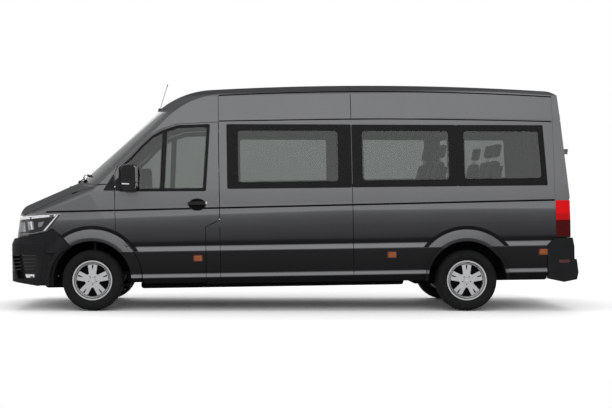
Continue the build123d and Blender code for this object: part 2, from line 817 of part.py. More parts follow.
def front_panels(region):
    """Thin left-hand nose skin, with its arch flare, inside a side-view outline."""
    with BuildPart() as flare_piece:
        add(front_flare)
        from_side(region, 0, LEFT_FAR)
        add(front_arch_void.part, mode=Mode.SUBTRACT)

    with BuildPart() as skin_piece:
        add(OUTER)
        add(front_valley, mode=Mode.SUBTRACT)
        add(belt_groove, mode=Mode.SUBTRACT)
        from_side(region, 0, LEFT_FAR)
        add(SKIN_SPACE, mode=Mode.SUBTRACT)
        add(front_arch_void.part, mode=Mode.SUBTRACT)
        add(flare_piece.part)
    return skin_piece.part


seam_below = offset_run(BONNET_SEAM, 0, LAMP_SEAM_GAP)
rear_edge_a = DOOR_FRONT_A - HALF_GAP
leg_arch = DOOR_ARCH_RADIUS - HALF_GAP
LEG_ANGLES = (48, 36, 24, 12, -5.9)
leg_run = tuple(
    (FRONT_HUB_A + leg_arch * cos(radians(t)), FRONT_HUB_Z + leg_arch * sin(radians(t))) for t in LEG_ANGLES
)
fender_region = polygon(
    *seam_below[1:],
    (rear_edge_a, FENDER_TOP_Z - SHUT_GAP),
    (rear_edge_a, 1240),
    (rear_edge_a + 8, 960),
    *leg_run,
    (FRONT_HUB_A, SILL_BOTTOM),
    *FENDER_FRONT,
)
left_fender = front_panels(fender_region)
with BuildPart() as fender_beside_cowl:
    add(left_fender)
    from_side(
        rectangle(SCREEN_FOOT_A, CAB_REAR_A, COWL_LOW_Z - 100, ROOF_TOP), 0, COWL_HALF + 4, Mode.SUBTRACT
    )

with BuildPart() as front_fenders:
    add(fender_beside_cowl.part)
    add(on_right(fender_beside_cowl.part))

FOG_POCKET = ((-975, 688), (-660, 680), (-626, 396), (-900, 396))
INTAKE_HALF = 470
INTAKE_Z = (430, 640)
LOUVRES = 4
half_bumper = front_panels(polygon(*BUMPER_TOP, (FRONT_HUB_A, SILL_BOTTOM), *BUMPER_FOOT))
with BuildPart() as pocket_zone:
    from_side(polygon(*FOG_POCKET), 560, LEFT_FAR, Mode.ADD)

with BuildPart() as intake_zone:
    from_side(rectangle(NOSE_A - 100, NOSE_A + 200, *INTAKE_Z), -INTAKE_HALF, INTAKE_HALF, Mode.ADD)

bumper_nose_plan = nose_plan(NOSE_A - 3, 800, 0, BUMPER_BOW, BUMPER_CORNER_RADIUS)
bumper_low_face = BODY.offset(DEEP) * bumper_nose_plan
bumper_shelf_face = BODY.offset(BUMPER_SHELF_Z) * bumper_nose_plan
with BuildPart() as bumper_nose:
    extrude(bumper_low_face, amount=BUMPER_SHELF_Z - DEEP)
    extrude(bumper_shelf_face, amount=BUMPER_SHELF_RISE, taper=BUMPER_SHELF_TAPER)
    from_side(polygon(*BUMPER_TOP[:3], (BUMPER_NOSE_REAR_A, SILL_BOTTOM), *BUMPER_FOOT[1:]), -WIDE, WIDE)
    add(SKIN_SPACE, mode=Mode.SUBTRACT)

with BuildPart() as front_bumper:
    add(half_bumper)
    add(on_right(half_bumper))
    add(bumper_nose.part)
    add(pocket_zone.part, mode=Mode.SUBTRACT)
    add(on_right(pocket_zone.part), mode=Mode.SUBTRACT)
    add(intake_zone.part, mode=Mode.SUBTRACT)

with BuildPart() as bumper_inserts:
    add(pocket_zone.part)
    add(on_right(pocket_zone.part))
    add(intake_zone.part)
    add(POCKET_SPACE, mode=Mode.INTERSECT)
    add(GRILLE_BACK, mode=Mode.SUBTRACT)
    louvre_pitch = (INTAKE_Z[1] - INTAKE_Z[0]) / (LOUVRES + 0.5)
    for louvre in range(LOUVRES):
        low = INTAKE_Z[0] + louvre_pitch * (louvre + 0.5)
        from_side(
            rectangle(NOSE_A - 100, NOSE_A + 200, low, low + louvre_pitch * 0.5),
            -(INTAKE_HALF - 40),
            INTAKE_HALF - 40,
            Mode.SUBTRACT,
        )

TAB_Z = (850, GRILLE_LOW_Z + 10)
with BuildPart() as grille_tabs:
    for near, far_y in ((-420, -340), (340, 420)):
        from_side(rectangle(NOSE_A, NOSE_A + 100, *TAB_Z), near, far_y, Mode.ADD)
    add(LINER_SPACE, mode=Mode.INTERSECT)

with BuildPart() as grille:
    add(OUTER)
    from_side(
        rectangle(NOSE_A - 200, NOSE_A + 260, GRILLE_LOW_Z, GRILLE_HIGH_Z), -GRILLE_HALF, GRILLE_HALF
    )
    add(GRILLE_BACK, mode=Mode.SUBTRACT)
    pitch = (GRILLE_HIGH_Z - GRILLE_LOW_Z) / (GRILLE_SLOTS + 0.6)
    for slot in range(GRILLE_SLOTS):
        slot_low = GRILLE_LOW_Z + pitch * (slot + 0.6)
        from_side(
            rectangle(NOSE_A - 200, NOSE_A + 400, slot_low, slot_low + pitch * 0.5),
            -(GRILLE_HALF - 60),
            GRILLE_HALF - 60,
            Mode.SUBTRACT,
        )
    add(grille_tabs.part)

lamp_back = envelope(LAMP_DEEP, DEEP + 800)
with BuildPart() as lamp_tab:
    from_side(rectangle(NOSE_A, NOSE_A + 190, *TAB_Z), 700, 760, Mode.ADD)
    add(LINER_SPACE, mode=Mode.INTERSECT)

with BuildPart() as left_lamp:
    add(OUTER)
    from_side(polygon(*LAMP_OUTLINE), GRILLE_HALF + LAMP_SEAM_GAP, LEFT_FAR)
    add(lamp_back, mode=Mode.SUBTRACT)
    add(lamp_tab.part)

with BuildPart() as headlamps:
    add(left_lamp.part)
    add(on_right(left_lamp.part))

# Rear doors, bumper and lamps -------------------------------------------------------------------
REAR_LIGHT = (120, 705, 1490, 2070)
REAR_PANE_MARGIN = 40
TAIL_LAMP = (808, 1239)
TAIL_LAMP_FRONT_A = CORNER_SEAM_A + 6
TAIL_LAMP_HALF = 832
BUMPER_TAIL_A = 5824
BUMPER_STEP_TOP = REAR_DOOR_BOTTOM - SHUT_GAP


def rear_face(margin, corner):
    """Rear door window face for the left door, in the rear view."""
    near, far_y, low, high = REAR_LIGHT
    m = margin
    return rounded(rectangle(-far_y - m, -near + m, low - m, high + m), corner)


rear_pane_seat = pane_seat(rear_face(REAR_PANE_MARGIN, 40), SECTION, TAIL_A - 300, TAIL_A + 100)
with BuildPart() as rear_door_shell:
    add(OUTER)
    from_front(
        rectangle(-REAR_DOOR_HALF + HALF_GAP, -HALF_GAP, REAR_DOOR_BOTTOM, REAR_DOOR_TOP - HALF_GAP),
        TAIL_A - 250,
        TAIL_A + 100,
    )
    add(CABIN_SPACE, mode=Mode.SUBTRACT)
    prism(rear_face(0, 50), SECTION, TAIL_A - 300, TAIL_A + 100, Mode.SUBTRACT)
    add(rear_pane_seat, mode=Mode.SUBTRACT)

with BuildPart() as left_rear_window:
    add(OUTER)
    prism(rear_face(REAR_PANE_MARGIN, 40), SECTION, TAIL_A - 300, TAIL_A + 100)
    add(PANE_SPACE, mode=Mode.SUBTRACT)

with BuildPart() as left_tail_lamp:
    add(OUTER)
    from_side(rectangle(TAIL_LAMP_FRONT_A, TAIL_A + 100, *TAIL_LAMP), TAIL_LAMP_HALF, LEFT_FAR)
    add(GRILLE_BACK, mode=Mode.SUBTRACT)

with BuildPart() as tail_lamps:
    add(left_tail_lamp.part)
    add(on_right(left_tail_lamp.part))

bumper_plan = BODY * nose_plan(NOSE_A, BUMPER_TAIL_A, 12)
with BuildPart() as rear_bumper:
    from_side(
        polygon(
            (5455 + HALF_GAP, SILL_BOTTOM),
            (5455 + HALF_GAP, 702),
            (5545, 793 - HALF_GAP),
            (TAIL_A + 26, 793 - HALF_GAP),
            (TAIL_A + 44, 690),
            (TAIL_A + 44, BUMPER_STEP_TOP),
            (TAIL_A + 71, BUMPER_STEP_TOP - 10),
            (BUMPER_TAIL_A, 375),
            (BUMPER_TAIL_A - 20, 292),
            (5650, 262),
        ),
        -WIDE,
        WIDE,
        Mode.ADD,
    )
    extrude(bumper_plan, amount=ROOF_TOP, mode=Mode.INTERSECT)
    from_side(
        rectangle(5000, TAIL_A, 0, BUMPER_STEP_TOP),
        -(REAR_DOOR_HALF + 140),
        REAR_DOOR_HALF + 140,
        Mode.SUBTRACT,
    )
    from_side(
        rectangle(5000, TAIL_A + 300, BUMPER_STEP_TOP, ROOF_TOP),
        -(REAR_DOOR_HALF + SHUT_GAP),
        REAR_DOOR_HALF + SHUT_GAP,
        Mode.SUBTRACT,
    )
    add(CABIN_SPACE, mode=Mode.SUBTRACT)

with BuildPart() as lamp_seat:
    from_side(
        rectangle(
            TAIL_LAMP_FRONT_A - SEAT_GAP, TAIL_A + 100, TAIL_LAMP[0] - SEAT_GAP, TAIL_LAMP[1] + SEAT_GAP
        ),
        TAIL_LAMP_HALF - SEAT_GAP,
        LEFT_FAR,
        Mode.ADD,
    )
    add(GRILLE_BACK, mode=Mode.SUBTRACT)

# Hinges: the rear doors turn on outside knuckles, the front doors and bonnet on hidden brackets ----
REAR_HINGE_A = TAIL_A + 25
REAR_HINGE_Y = REAR_DOOR_HALF + HALF_GAP
REAR_HINGE_RADIUS = 9
REAR_HINGE_HEIGHTS = (860, 1300, 1826)
HINGE_KNUCKLE = 32
STRAP_LONG = 50
FIXED_STRAP_LONG = 22
STRAP_THICK = 8


def tail_at(z, inset=0):
    """Distance behind the front axle of the rear face at a height."""
    return TAIL_A - inset - max(0, z - TAIL_LEAN_Z) * tan(radians(TAIL_LEAN))


def rear_hinge(z, low, toward_centre):
    """Knuckle on the rear hinge line with the leaf that carries it, on the left side."""
    face = tail_at(z)
    with BuildPart() as leaf:
        with BuildSketch(BODY.offset(low)):
            with Locations((REAR_HINGE_A, -REAR_HINGE_Y)):
                Circle(REAR_HINGE_RADIUS)
        extrude(amount=HINGE_KNUCKLE)
        near = -REAR_HINGE_Y
        far_y = near + STRAP_LONG if toward_centre else near - FIXED_STRAP_LONG
        with BuildSketch(BODY.offset(low)):
            with BuildLine():
                Polyline(
                    (face - 20, far_y),
                    (REAR_HINGE_A + REAR_HINGE_RADIUS - STRAP_THICK, far_y),
                    (REAR_HINGE_A + REAR_HINGE_RADIUS, near),
                    (REAR_HINGE_A, near),
                    (face - 20, near + (HALF_GAP if toward_centre else -HALF_GAP)),
                    close=True,
                )
            make_face()
        extrude(amount=HINGE_KNUCKLE)
        add(PANE_SPACE, mode=Mode.SUBTRACT)
    return leaf.part


moving_leaves = [rear_hinge(z, z + SEAT_GAP, True) for z in REAR_HINGE_HEIGHTS]
fixed_leaves = [rear_hinge(z, z - HINGE_KNUCKLE, False) for z in REAR_HINGE_HEIGHTS]

with BuildPart() as left_rear_door:
    add(rear_door_shell.part)
    for leaf in moving_leaves:
        add(leaf)

with BuildPart() as left_side_panel:
    add(left_side)
    add(lamp_seat.part, mode=Mode.SUBTRACT)
    for leaf in fixed_leaves:
        add(leaf)

with BuildPart() as right_side_on_left:
    add(side_with_doorway.part)
    add(lamp_seat.part, mode=Mode.SUBTRACT)
    for leaf in fixed_leaves:
        add(leaf)

with BuildPart() as right_side_panel:
    add(on_right(right_side_on_left.part))

# Floor, frame rails, wheel houses and the pillars that carry the doors ---------------------------
FLOOR_HALF_AT_DOORS = 934
RAIL_INNER_Y = 400
RAIL_OUTER_Y = 480
RAIL_LOW_Z = 440
FIREWALL_A = 150
FIREWALL_THICK = 18
FIREWALL_TOP_Z = 1395
REAR_FLOOR_A = TAIL_A - WALL - SHUT_GAP
HOUSE_RADIUS = 486
HOUSE_THICK = 8
HOUSE_LOW_Z = 330
ROCKER = ((500, 862, 330), (3950, 880, FLOOR_TOP - FLOOR_THICK))
FRONT_HOUSE_INNER_Y = 520
REAR_HOUSE_INNER_Y = 700
CROSS_MEMBERS = (700, 1300, 1900, 2500, 3100, 3700, 5200)
CROSS_MEMBER_LOW_Z = 520
POST_DEEP = 60
POST_Y = (850, 925)
POST_Z = (760, 1480)
DOOR_HINGE_HEIGHTS = (1060, 1420)
DOOR_HINGE_HIGH = 60
BEAM_HALF = 620
BEAM_Z = (470, 560)
BEAM_DEEP = 112
TOW_HOLE_X = (2980, 3080)
TOW_HOLE_Z = 590
TOW_HOLE_RADIUS = 6.5
KINGPIN_LEAN = 12.5
KINGPIN_FOOT_Y = 790
KINGPIN_FOOT_Z = 230
PIN_RADIUS = 9
PIN_LONG = 58
STRUT_TOP_Z = 800
JACK_PADS_A = (900, 3500)
JACK_PAD_HALF = 50
JACK_PAD_THICK = 8


def kingpin_at(z):
    """Distance from the centreline of the kingpin line at a height above the ground."""
    return KINGPIN_FOOT_Y - (z - KINGPIN_FOOT_Z) * tan(radians(KINGPIN_LEAN))


def box_between(low, high):
    """Box in the body's terms from one (a, y, z) corner to the opposite one."""
    with BuildPart() as block:
        with BuildSketch(BODY.offset(low[2])):
            with Locations(((low[0] + high[0]) / 2, (low[1] + high[1]) / 2)):
                Rectangle(high[0] - low[0], high[1] - low[1])
        extrude(amount=high[2] - low[2])
    return block.part


def wheel_house(hub_a, hub_z, inner_y, space):
    """Left-hand wheel house: a half barrel with an inner wall, out to the body's inner face."""
    with BuildPart() as house:
        with BuildSketch(SIDE.offset(inner_y)):
            with Locations((hub_a, hub_z)):
                Circle(HOUSE_RADIUS)
        extrude(amount=LEFT_FAR - inner_y)
        with BuildSketch(SIDE.offset(inner_y + HOUSE_THICK)):
            with Locations((hub_a, hub_z)):
                Circle(HOUSE_RADIUS - HOUSE_THICK)
        extrude(amount=LEFT_FAR - inner_y, mode=Mode.SUBTRACT)
        from_side(rectangle(hub_a - 600, hub_a + 600, HOUSE_LOW_Z, 1200), 0, LEFT_FAR)
        from_side(
            rectangle(hub_a - 600, hub_a + 600, 0, RAIL_LOW_Z), inner_y, inner_y + HOUSE_THICK, Mode.SUBTRACT
        )
        add(space, mode=Mode.INTERSECT)
    return house.part


floor_low = FLOOR_TOP - FLOOR_THICK

with BuildPart() as bumper_beam:
    add(box_between((NOSE_A, -BEAM_HALF, BEAM_Z[0]), (NOSE_A + BEAM_DEEP, BEAM_HALF, BEAM_Z[1])))
    add(LINER_SPACE, mode=Mode.INTERSECT)

with BuildPart() as left_door_post:
    add(
        box_between(
            (DOOR_FRONT_A - HALF_GAP - POST_DEEP, -POST_Y[1], POST_Z[0]),
            (DOOR_FRONT_A - HALF_GAP, -POST_Y[0], POST_Z[1]),
        )
    )
    for z in DOOR_HINGE_HEIGHTS:
        add(
            box_between(
                (DOOR_FRONT_A - POST_DEEP, -WIDE, z),
                (DOOR_FRONT_A + 50, -POST_Y[0] - 10, z + DOOR_HINGE_HIGH),
            )
        )
    add(CABIN_SPACE, mode=Mode.INTERSECT)

with BuildPart() as floor_body:
    add(box_between((CAB_REAR_A + 15, -WIDE, floor_low), (REAR_FLOOR_A, WIDE, FLOOR_TOP)))
    add(CABIN_SPACE, mode=Mode.INTERSECT)
    add(
        box_between(
            (FIREWALL_A, -FLOOR_HALF_AT_DOORS, floor_low), (CAB_REAR_A + 20, FLOOR_HALF_AT_DOORS, FLOOR_TOP)
        )
    )
    for hub_a, hub_z, inner in (
        (FRONT_HUB_A, FRONT_HUB_Z, FRONT_HOUSE_INNER_Y),
        (REAR_HUB_A, REAR_HUB_Z, REAR_HOUSE_INNER_Y),
    ):
        for side in (-1, 1):
            with BuildSketch(SIDE.offset(side * inner)):
                with Locations((hub_a, hub_z)):
                    Circle(HOUSE_RADIUS)
            extrude(amount=side * LEFT_FAR, mode=Mode.SUBTRACT)
    for side in (-1, 1):
        near, far_y = sorted((side * RAIL_INNER_Y, side * RAIL_OUTER_Y))
        add(box_between((NOSE_A + BEAM_DEEP - 2, near, RAIL_LOW_Z), (REAR_FLOOR_A - 60, far_y, floor_low)))
    for member_a in CROSS_MEMBERS:
        add(
            box_between(
                (member_a, -RAIL_INNER_Y, CROSS_MEMBER_LOW_Z), (member_a + 60, RAIL_INNER_Y, floor_low)
            )
        )
    add(bumper_beam.part)
    add(
        box_between(
            (FIREWALL_A, -FRONT_HOUSE_INNER_Y, floor_low),
            (FIREWALL_A + FIREWALL_THICK, FRONT_HOUSE_INNER_Y, FIREWALL_TOP_Z),
        )
    )
    add(
        box_between(
            (FIREWALL_A, -900, FRONT_HUB_Z + HOUSE_RADIUS - 60),
            (FIREWALL_A + FIREWALL_THICK, 900, FIREWALL_TOP_Z),
        )
    )
    left_front_house = wheel_house(FRONT_HUB_A, FRONT_HUB_Z, FRONT_HOUSE_INNER_Y, SKIN_SPACE)
    left_rear_house = wheel_house(REAR_HUB_A, REAR_HUB_Z, REAR_HOUSE_INNER_Y, CABIN_SPACE)
    for house in (left_front_house, left_rear_house):
        add(house)
        add(on_right(house))
    add(left_door_post.part)
    add(on_right(left_door_post.part))
    (rocker_front, rocker_near, rocker_low), (rocker_rear, rocker_far, rocker_high) = ROCKER
    for near, far_y in ((-rocker_far, -rocker_near), (rocker_near, rocker_far)):
        add(box_between((rocker_front, near, rocker_low), (rocker_rear, far_y, rocker_high)))
    for a in JACK_PADS_A:
        for side in (-1, 1):
            near, far_y = sorted((side * RAIL_INNER_Y, side * RAIL_OUTER_Y))
            add(
                box_between(
                    (a - JACK_PAD_HALF, near, RAIL_LOW_Z - JACK_PAD_THICK),
                    (a + JACK_PAD_HALF, far_y, RAIL_LOW_Z),
                )
            )
    with BuildSketch(Plane.XZ):
        with Locations((TOW_HOLE_X[0], TOW_HOLE_Z), (TOW_HOLE_X[1], TOW_HOLE_Z)):
            Circle(TOW_HOLE_RADIUS)
    extrude(amount=RAIL_OUTER_Y + 60, both=True, mode=Mode.SUBTRACT)

# Engine, subframe, tank and exhaust ---------------------------------------------------------------
ENGINE_HALF = 260
GEARBOX_END_A = 620
with BuildPart() as engine:
    add(box_between((-620, -ENGINE_HALF, 430), (-60, ENGINE_HALF, 1060)))
    add(box_between((-60, -130, 380), (GEARBOX_END_A, 130, 570)))
    for side in (-1, 1):
        near, far_y = sorted((side * ENGINE_HALF, side * RAIL_INNER_Y))
        add(box_between((-380, near, 500), (-300, far_y, 540)))

ARM_Z = 200
ARM_THICK = 30
BALL_RADIUS = 26
PIN_START_Z = ARM_Z + 8
KINGPIN_DIR = Vector(0, sin(radians(KINGPIN_LEAN)), cos(radians(KINGPIN_LEAN)))


def left_pin(radius, length):
    """Round bar up the left kingpin line, from inside the lower arm."""
    foot = Vector(FRONT_AXLE_X, -kingpin_at(PIN_START_Z), PIN_START_Z)
    with BuildPart() as bar:
        with BuildSketch(Plane(origin=foot, x_dir=(1, 0, 0), z_dir=KINGPIN_DIR)):
            Circle(radius)
        extrude(amount=length)
    return bar.part


lower_pin = left_pin(PIN_RADIUS, PIN_LONG)
pin_bore = left_pin(PIN_RADIUS + SEAT_GAP, PIN_LONG + SHUT_GAP)
with BuildPart() as front_subframe:
    add(lower_pin)
    add(on_right(lower_pin))
    with BuildSketch(Plane.XY.offset(ARM_Z + ARM_THICK + 20)):
        with Locations((FRONT_AXLE_X, 0)):
            Rectangle(220, 760)
    extrude(amount=80)
    for side in (-1, 1):
        near, far_y = sorted((side * RAIL_INNER_Y, side * RAIL_OUTER_Y))
        add(box_between((-70, near, 300), (70, far_y, RAIL_LOW_Z)))
        near, far_y = sorted((side * 340, side * RAIL_OUTER_Y))
        add(box_between((-100, near, 262), (100, far_y, 320)))
        with BuildSketch(Plane.XY.offset(ARM_Z)):
            with BuildLine():
                Polyline(
                    (FRONT_AXLE_X - 90, side * 330),
                    (FRONT_AXLE_X - 26, side * KINGPIN_FOOT_Y),
                    (FRONT_AXLE_X + 26, side * KINGPIN_FOOT_Y),
                    (FRONT_AXLE_X + 330, side * 380),
                    (FRONT_AXLE_X + 330, side * 330),
                    close=True,
                )
            make_face()
            with Locations((FRONT_AXLE_X, side * KINGPIN_FOOT_Y)):
                Circle(BALL_RADIUS)
        extrude(amount=ARM_THICK)
        with BuildSketch(Plane.XY.offset(ARM_Z + ARM_THICK)):
            with Locations((FRONT_AXLE_X, side * 350)):
                Rectangle(160, 36)
        extrude(amount=40)

with BuildPart() as fuel_tank:
    add(box_between((1750, -860, 345), (2700, -510, floor_low)))
    fillet(fuel_tank.edges().filter_by(Axis.Y).group_by(Axis.Z)[0], radius=60)

EXHAUST_PATH = (
    (-100, 300, 420),
    (250, 300, 400),
    (600, 250, 400),
    (1500, 250, 400),
    (2300, 600, 400),
    (3010, 600, 400),
)
PIPE_RADIUS = 32
with BuildPart() as exhaust:
    points = [BODY.from_local_coords((a, y, z)) for a, y, z in EXHAUST_PATH]
    with BuildLine():
        FilletPolyline(*points, radius=150)
    start = points[0]
    with BuildSketch(Plane(origin=start, z_dir=points[1] - points[0])):
        Circle(PIPE_RADIUS)
    sweep()
    add(box_between((3000, 500, 330), (3600, 740, 480)))
    fillet(exhaust.edges().filter_by(lambda e: e.length > 500), radius=60)
    add(box_between((3250, 560, 470), (3330, 600, floor_low)))
    add(box_between((1100, 236, 430), (1140, 264, floor_low)))

# Rear axle, springs and drive shaft ---------------------------------------------------------------
AXLE_RADIUS = 42
HUB_BORE = 24
STUB_RADIUS = 23.7
AXLE_END_Y = TRACK / 2 - 78
DIFF_RADIUS = 145
SPRING_REACH = 680
SPRING_WIDE = 64
SPRING_THICK = 34
SHAFT_RADIUS = 38
SHAFT_GAP = 2.6

with BuildPart() as rear_axle:
    hub = Vector(REAR_AXLE_X, 0, TYRE_RADIUS)
    with BuildSketch(Plane(origin=hub, x_dir=(1, 0, 0), z_dir=(0, 1, 0))):
        Circle(AXLE_RADIUS)
    extrude(amount=AXLE_END_Y, both=True)
    with BuildSketch(Plane(origin=hub, x_dir=(1, 0, 0), z_dir=(0, 1, 0))):
        Circle(STUB_RADIUS)
    extrude(amount=TRACK / 2 + 20, both=True)
    with BuildSketch(Plane(origin=hub, x_dir=(0, 1, 0), z_dir=(0, 0, 1))):
        Ellipse(150, DIFF_RADIUS)
    extrude(amount=100, both=True)
    fillet(rear_axle.edges().filter_by(lambda e: e.length > 600), radius=50)
    spring_end_z = RAIL_LOW_Z * cos(radians(RAKE)) + WHEELBASE * sin(radians(RAKE)) - 30
    for side in (-1, 1):
        with BuildSketch(Plane.XZ.offset(-side * (RAIL_INNER_Y + 8))):
            with BuildLine():
                top = ThreePointArc(
                    (REAR_AXLE_X - SPRING_REACH, spring_end_z - 12),
                    (REAR_AXLE_X, TYRE_RADIUS + AXLE_RADIUS + SPRING_THICK),
                    (REAR_AXLE_X + SPRING_REACH, spring_end_z + 12),
                )
                low = ThreePointArc(
                    (REAR_AXLE_X - SPRING_REACH, spring_end_z - 40),
                    (REAR_AXLE_X, TYRE_RADIUS + AXLE_RADIUS - 6),
                    (REAR_AXLE_X + SPRING_REACH, spring_end_z - 16),
                )
                Line(top @ 0, low @ 0)
                Line(top @ 1, low @ 1)
            make_face()
        extrude(amount=-side * SPRING_WIDE)
        near, far_y = sorted((side * (RAIL_INNER_Y + 8), side * (RAIL_INNER_Y + 8 + SPRING_WIDE)))
        for a in (REAR_HUB_A - SPRING_REACH, REAR_HUB_A + SPRING_REACH - 40):
            add(box_between((a, near, RAIL_LOW_Z - 50), (a + 40, far_y, RAIL_LOW_Z)))
    shaft_front = BODY.from_local_coords((GEARBOX_END_A + SHAFT_GAP, 0, 470))
    shaft_rear = Vector(REAR_AXLE_X - DIFF_RADIUS + 10, 0, TYRE_RADIUS)
    with BuildSketch(Plane(origin=shaft_front, z_dir=shaft_rear - shaft_front)):
        Circle(SHAFT_RADIUS)
    extrude(amount=(shaft_rear - shaft_front).length)

# Steering knuckles ---------------------------------------------------------------------------------
KNUCKLE_FACE_Y = TRACK / 2 - 62
KNUCKLE_BACK_Y = TRACK / 2 - 120
DISC_RADIUS = 150
STRUT_RADIUS = 27
LEG_LOW_Z = ARM_Z + ARM_THICK + 10

with BuildPart() as left_knuckle:
    with BuildSketch(Plane.XZ.offset(KNUCKLE_BACK_Y)):
        with Locations((FRONT_AXLE_X, TYRE_RADIUS)):
            Circle(58)
        with Locations((FRONT_AXLE_X, (LEG_LOW_Z + TYRE_RADIUS) / 2)):
            Rectangle(56, TYRE_RADIUS - LEG_LOW_Z)
        with Locations((FRONT_AXLE_X, TYRE_RADIUS + 70)):
            Rectangle(60, 140)
    extrude(amount=KNUCKLE_FACE_Y - KNUCKLE_BACK_Y)
    with BuildSketch(Plane.XZ.offset(KNUCKLE_FACE_Y)):
        with Locations((FRONT_AXLE_X, TYRE_RADIUS)):
            Circle(STUB_RADIUS)
    extrude(amount=TRACK / 2 + 20 - KNUCKLE_FACE_Y)
    strut_low = Vector(FRONT_AXLE_X, -kingpin_at(470), 470)
    strut_long = (STRUT_TOP_Z - 470) / cos(radians(KINGPIN_LEAN))
    with BuildSketch(Plane(origin=strut_low, x_dir=(1, 0, 0), z_dir=KINGPIN_DIR)):
        Circle(STRUT_RADIUS)
    extrude(amount=strut_long)
    with BuildSketch(Plane.XZ.offset(kingpin_at(490) - 20)):
        with Locations((FRONT_AXLE_X, 488)):
            Rectangle(60, 50)
    extrude(amount=KNUCKLE_BACK_Y + 20 - kingpin_at(490) + 20)
    add(pin_bore, mode=Mode.SUBTRACT)

with BuildPart() as right_knuckle:
    add(on_right(left_knuckle.part))

with BuildPart() as strut_tops:
    seat = Vector(FRONT_AXLE_X, -kingpin_at(STRUT_TOP_Z), STRUT_TOP_Z) + KINGPIN_DIR * SEAT_GAP
    with BuildSketch(Plane(origin=seat, x_dir=(1, 0, 0), z_dir=KINGPIN_DIR)):
        Circle(55)
    extrude(amount=62)

with BuildPart() as floor_pan:
    add(floor_body.part)
    add(strut_tops.part)
    add(on_right(strut_tops.part))
    add(front_fenders.part, mode=Mode.SUBTRACT)
    add(front_bumper.part, mode=Mode.SUBTRACT)
    add(bumper_inserts.part, mode=Mode.SUBTRACT)

# Wheels and tyres -----------------------------------------------------------------------------------
SPOKE_PAIRS = 5
DISC_OUT = 78
DISC_IN = 50
# Rim half section: radius, distance outboard of the wheel's middle plane.
RIM_SECTION = (
    (RIM_RADIUS, 95),
    (RIM_RADIUS, 84),
    (222.7, 79),
    (219, 58),
    (200, 44),
    (200, -46),
    (219, -60),
    (222.7, -79),
    (RIM_RADIUS, -84),
    (RIM_RADIUS, -95),
    (222, -95),
    (210, -78),
    (208, -66),
    (190, -52),
    (190, 40),
    (206, 62),
    (212, 84),
    (222, 95),
)
HUB_RADIUS = 66
CAP_RADIUS = 34
# Gaps between the spokes, drawn as if for a spoke pair that points along the first axis.
WIDE_GAP = ((88, 12), (180, 60), (194, 32), (198, 0), (194, -32), (180, -60), (88, -12))
NARROW_GAP = ((128, 4), (184, 10), (184, -10), (128, -4))


def wheel_plane(x, side, out=0):
    """Upright plane across a wheel, facing outboard, at a distance from its middle plane."""
    return Plane(
        origin=(x, side * (TRACK / 2 + out), TYRE_RADIUS), x_dir=(1, 0, 0), z_dir=(0, side, 0)
    )


def road_wheel(x, side):
    """Cast wheel with five pairs of spokes, its hub and its brake disc."""
    axle = Axis((x, 0, TYRE_RADIUS), (0, 1, 0))
    section_plane = Plane(origin=(x, 0, TYRE_RADIUS), x_dir=(1, 0, 0), z_dir=(0, 0, 1))
    middle = side * TRACK / 2
    with BuildPart() as wheel:
        with BuildSketch(section_plane):
            with BuildLine():
                Polyline(*[(r, middle + side * out) for r, out in RIM_SECTION], close=True)
            make_face()
            with BuildLine():
                Polyline(
                    (0, middle + side * (DISC_IN + 2)),
                    (HUB_RADIUS, middle + side * (DISC_IN + 2)),
                    (194, middle + side * 36),
                    (206, middle + side * 62),
                    (190, middle + side * (DISC_OUT - 6)),
                    (HUB_RADIUS + 10, middle + side * DISC_OUT),
                    (CAP_RADIUS + 4, middle + side * (DISC_OUT + 2)),
                    (CAP_RADIUS, middle + side * (DISC_OUT + 10)),
                    (0, middle + side * (DISC_OUT + 12)),
                    close=True,
                )
            make_face()
        revolve(axis=axle)
        with BuildSketch(wheel_plane(x, side, 20)):
            with PolarLocations(0, SPOKE_PAIRS, start_angle=90 + 180 / SPOKE_PAIRS):
                Polygon(*WIDE_GAP, align=None)
            with PolarLocations(0, SPOKE_PAIRS, start_angle=90):
                Polygon(*NARROW_GAP, align=None)
        extrude(amount=100, mode=Mode.SUBTRACT)
        with BuildSketch(wheel_plane(x, side, -55)):
            Circle(HUB_RADIUS - 14)
        extrude(amount=DISC_IN + 60)
        with BuildSketch(wheel_plane(x, side, -26)):
            Circle(DISC_RADIUS)
        extrude(amount=26)
        with BuildSketch(wheel_plane(x, side, -56)):
            Circle(HUB_BORE)
        extrude(amount=56 + 22, mode=Mode.SUBTRACT)
    return wheel.part


def road_tyre(x, side):
    """Tyre with bulged side walls and a slightly crowned tread."""
    section_plane = Plane(origin=(x, 0, TYRE_RADIUS), x_dir=(1, 0, 0), z_dir=(0, 0, 1))
    middle = side * TRACK / 2
    half = TYRE_WIDTH / 2
    with BuildPart() as tyre:
        with BuildSketch(section_plane):
            with BuildLine():
                low_r, lip, bead = 223, 78, RIM_RADIUS + 2
                Line((low_r, middle - lip), (low_r, middle + lip))
                Line((low_r, middle + lip), (bead, middle + lip + 5))
                ThreePointArc(
                    (bead, middle + lip + 5), (300, middle + half), (TYRE_RADIUS - 14, middle + half - 16)
                )
                ThreePointArc(
                    (TYRE_RADIUS - 14, middle + half - 16),
                    (TYRE_RADIUS, middle),
                    (TYRE_RADIUS - 14, middle - half + 16),
                )
                ThreePointArc(
                    (TYRE_RADIUS - 14, middle - half + 16), (300, middle - half), (bead, middle - lip - 5)
                )
                Line((bead, middle - lip - 5), (low_r, middle - lip))
            make_face()
        revolve(axis=Axis((x, 0, TYRE_RADIUS), (0, 1, 0)))
    return tyre.part


# Dashboard, steering wheel and seats ----------------------------------------------------------------
DASH_HALF = 845
STEER_CENTRE = (660, 400, 1385)
STEER_TILT = 38
STEER_RADIUS = 190
STEER_RIM = 15
STEER_DISH = 45
COLUMN_LONG = 260

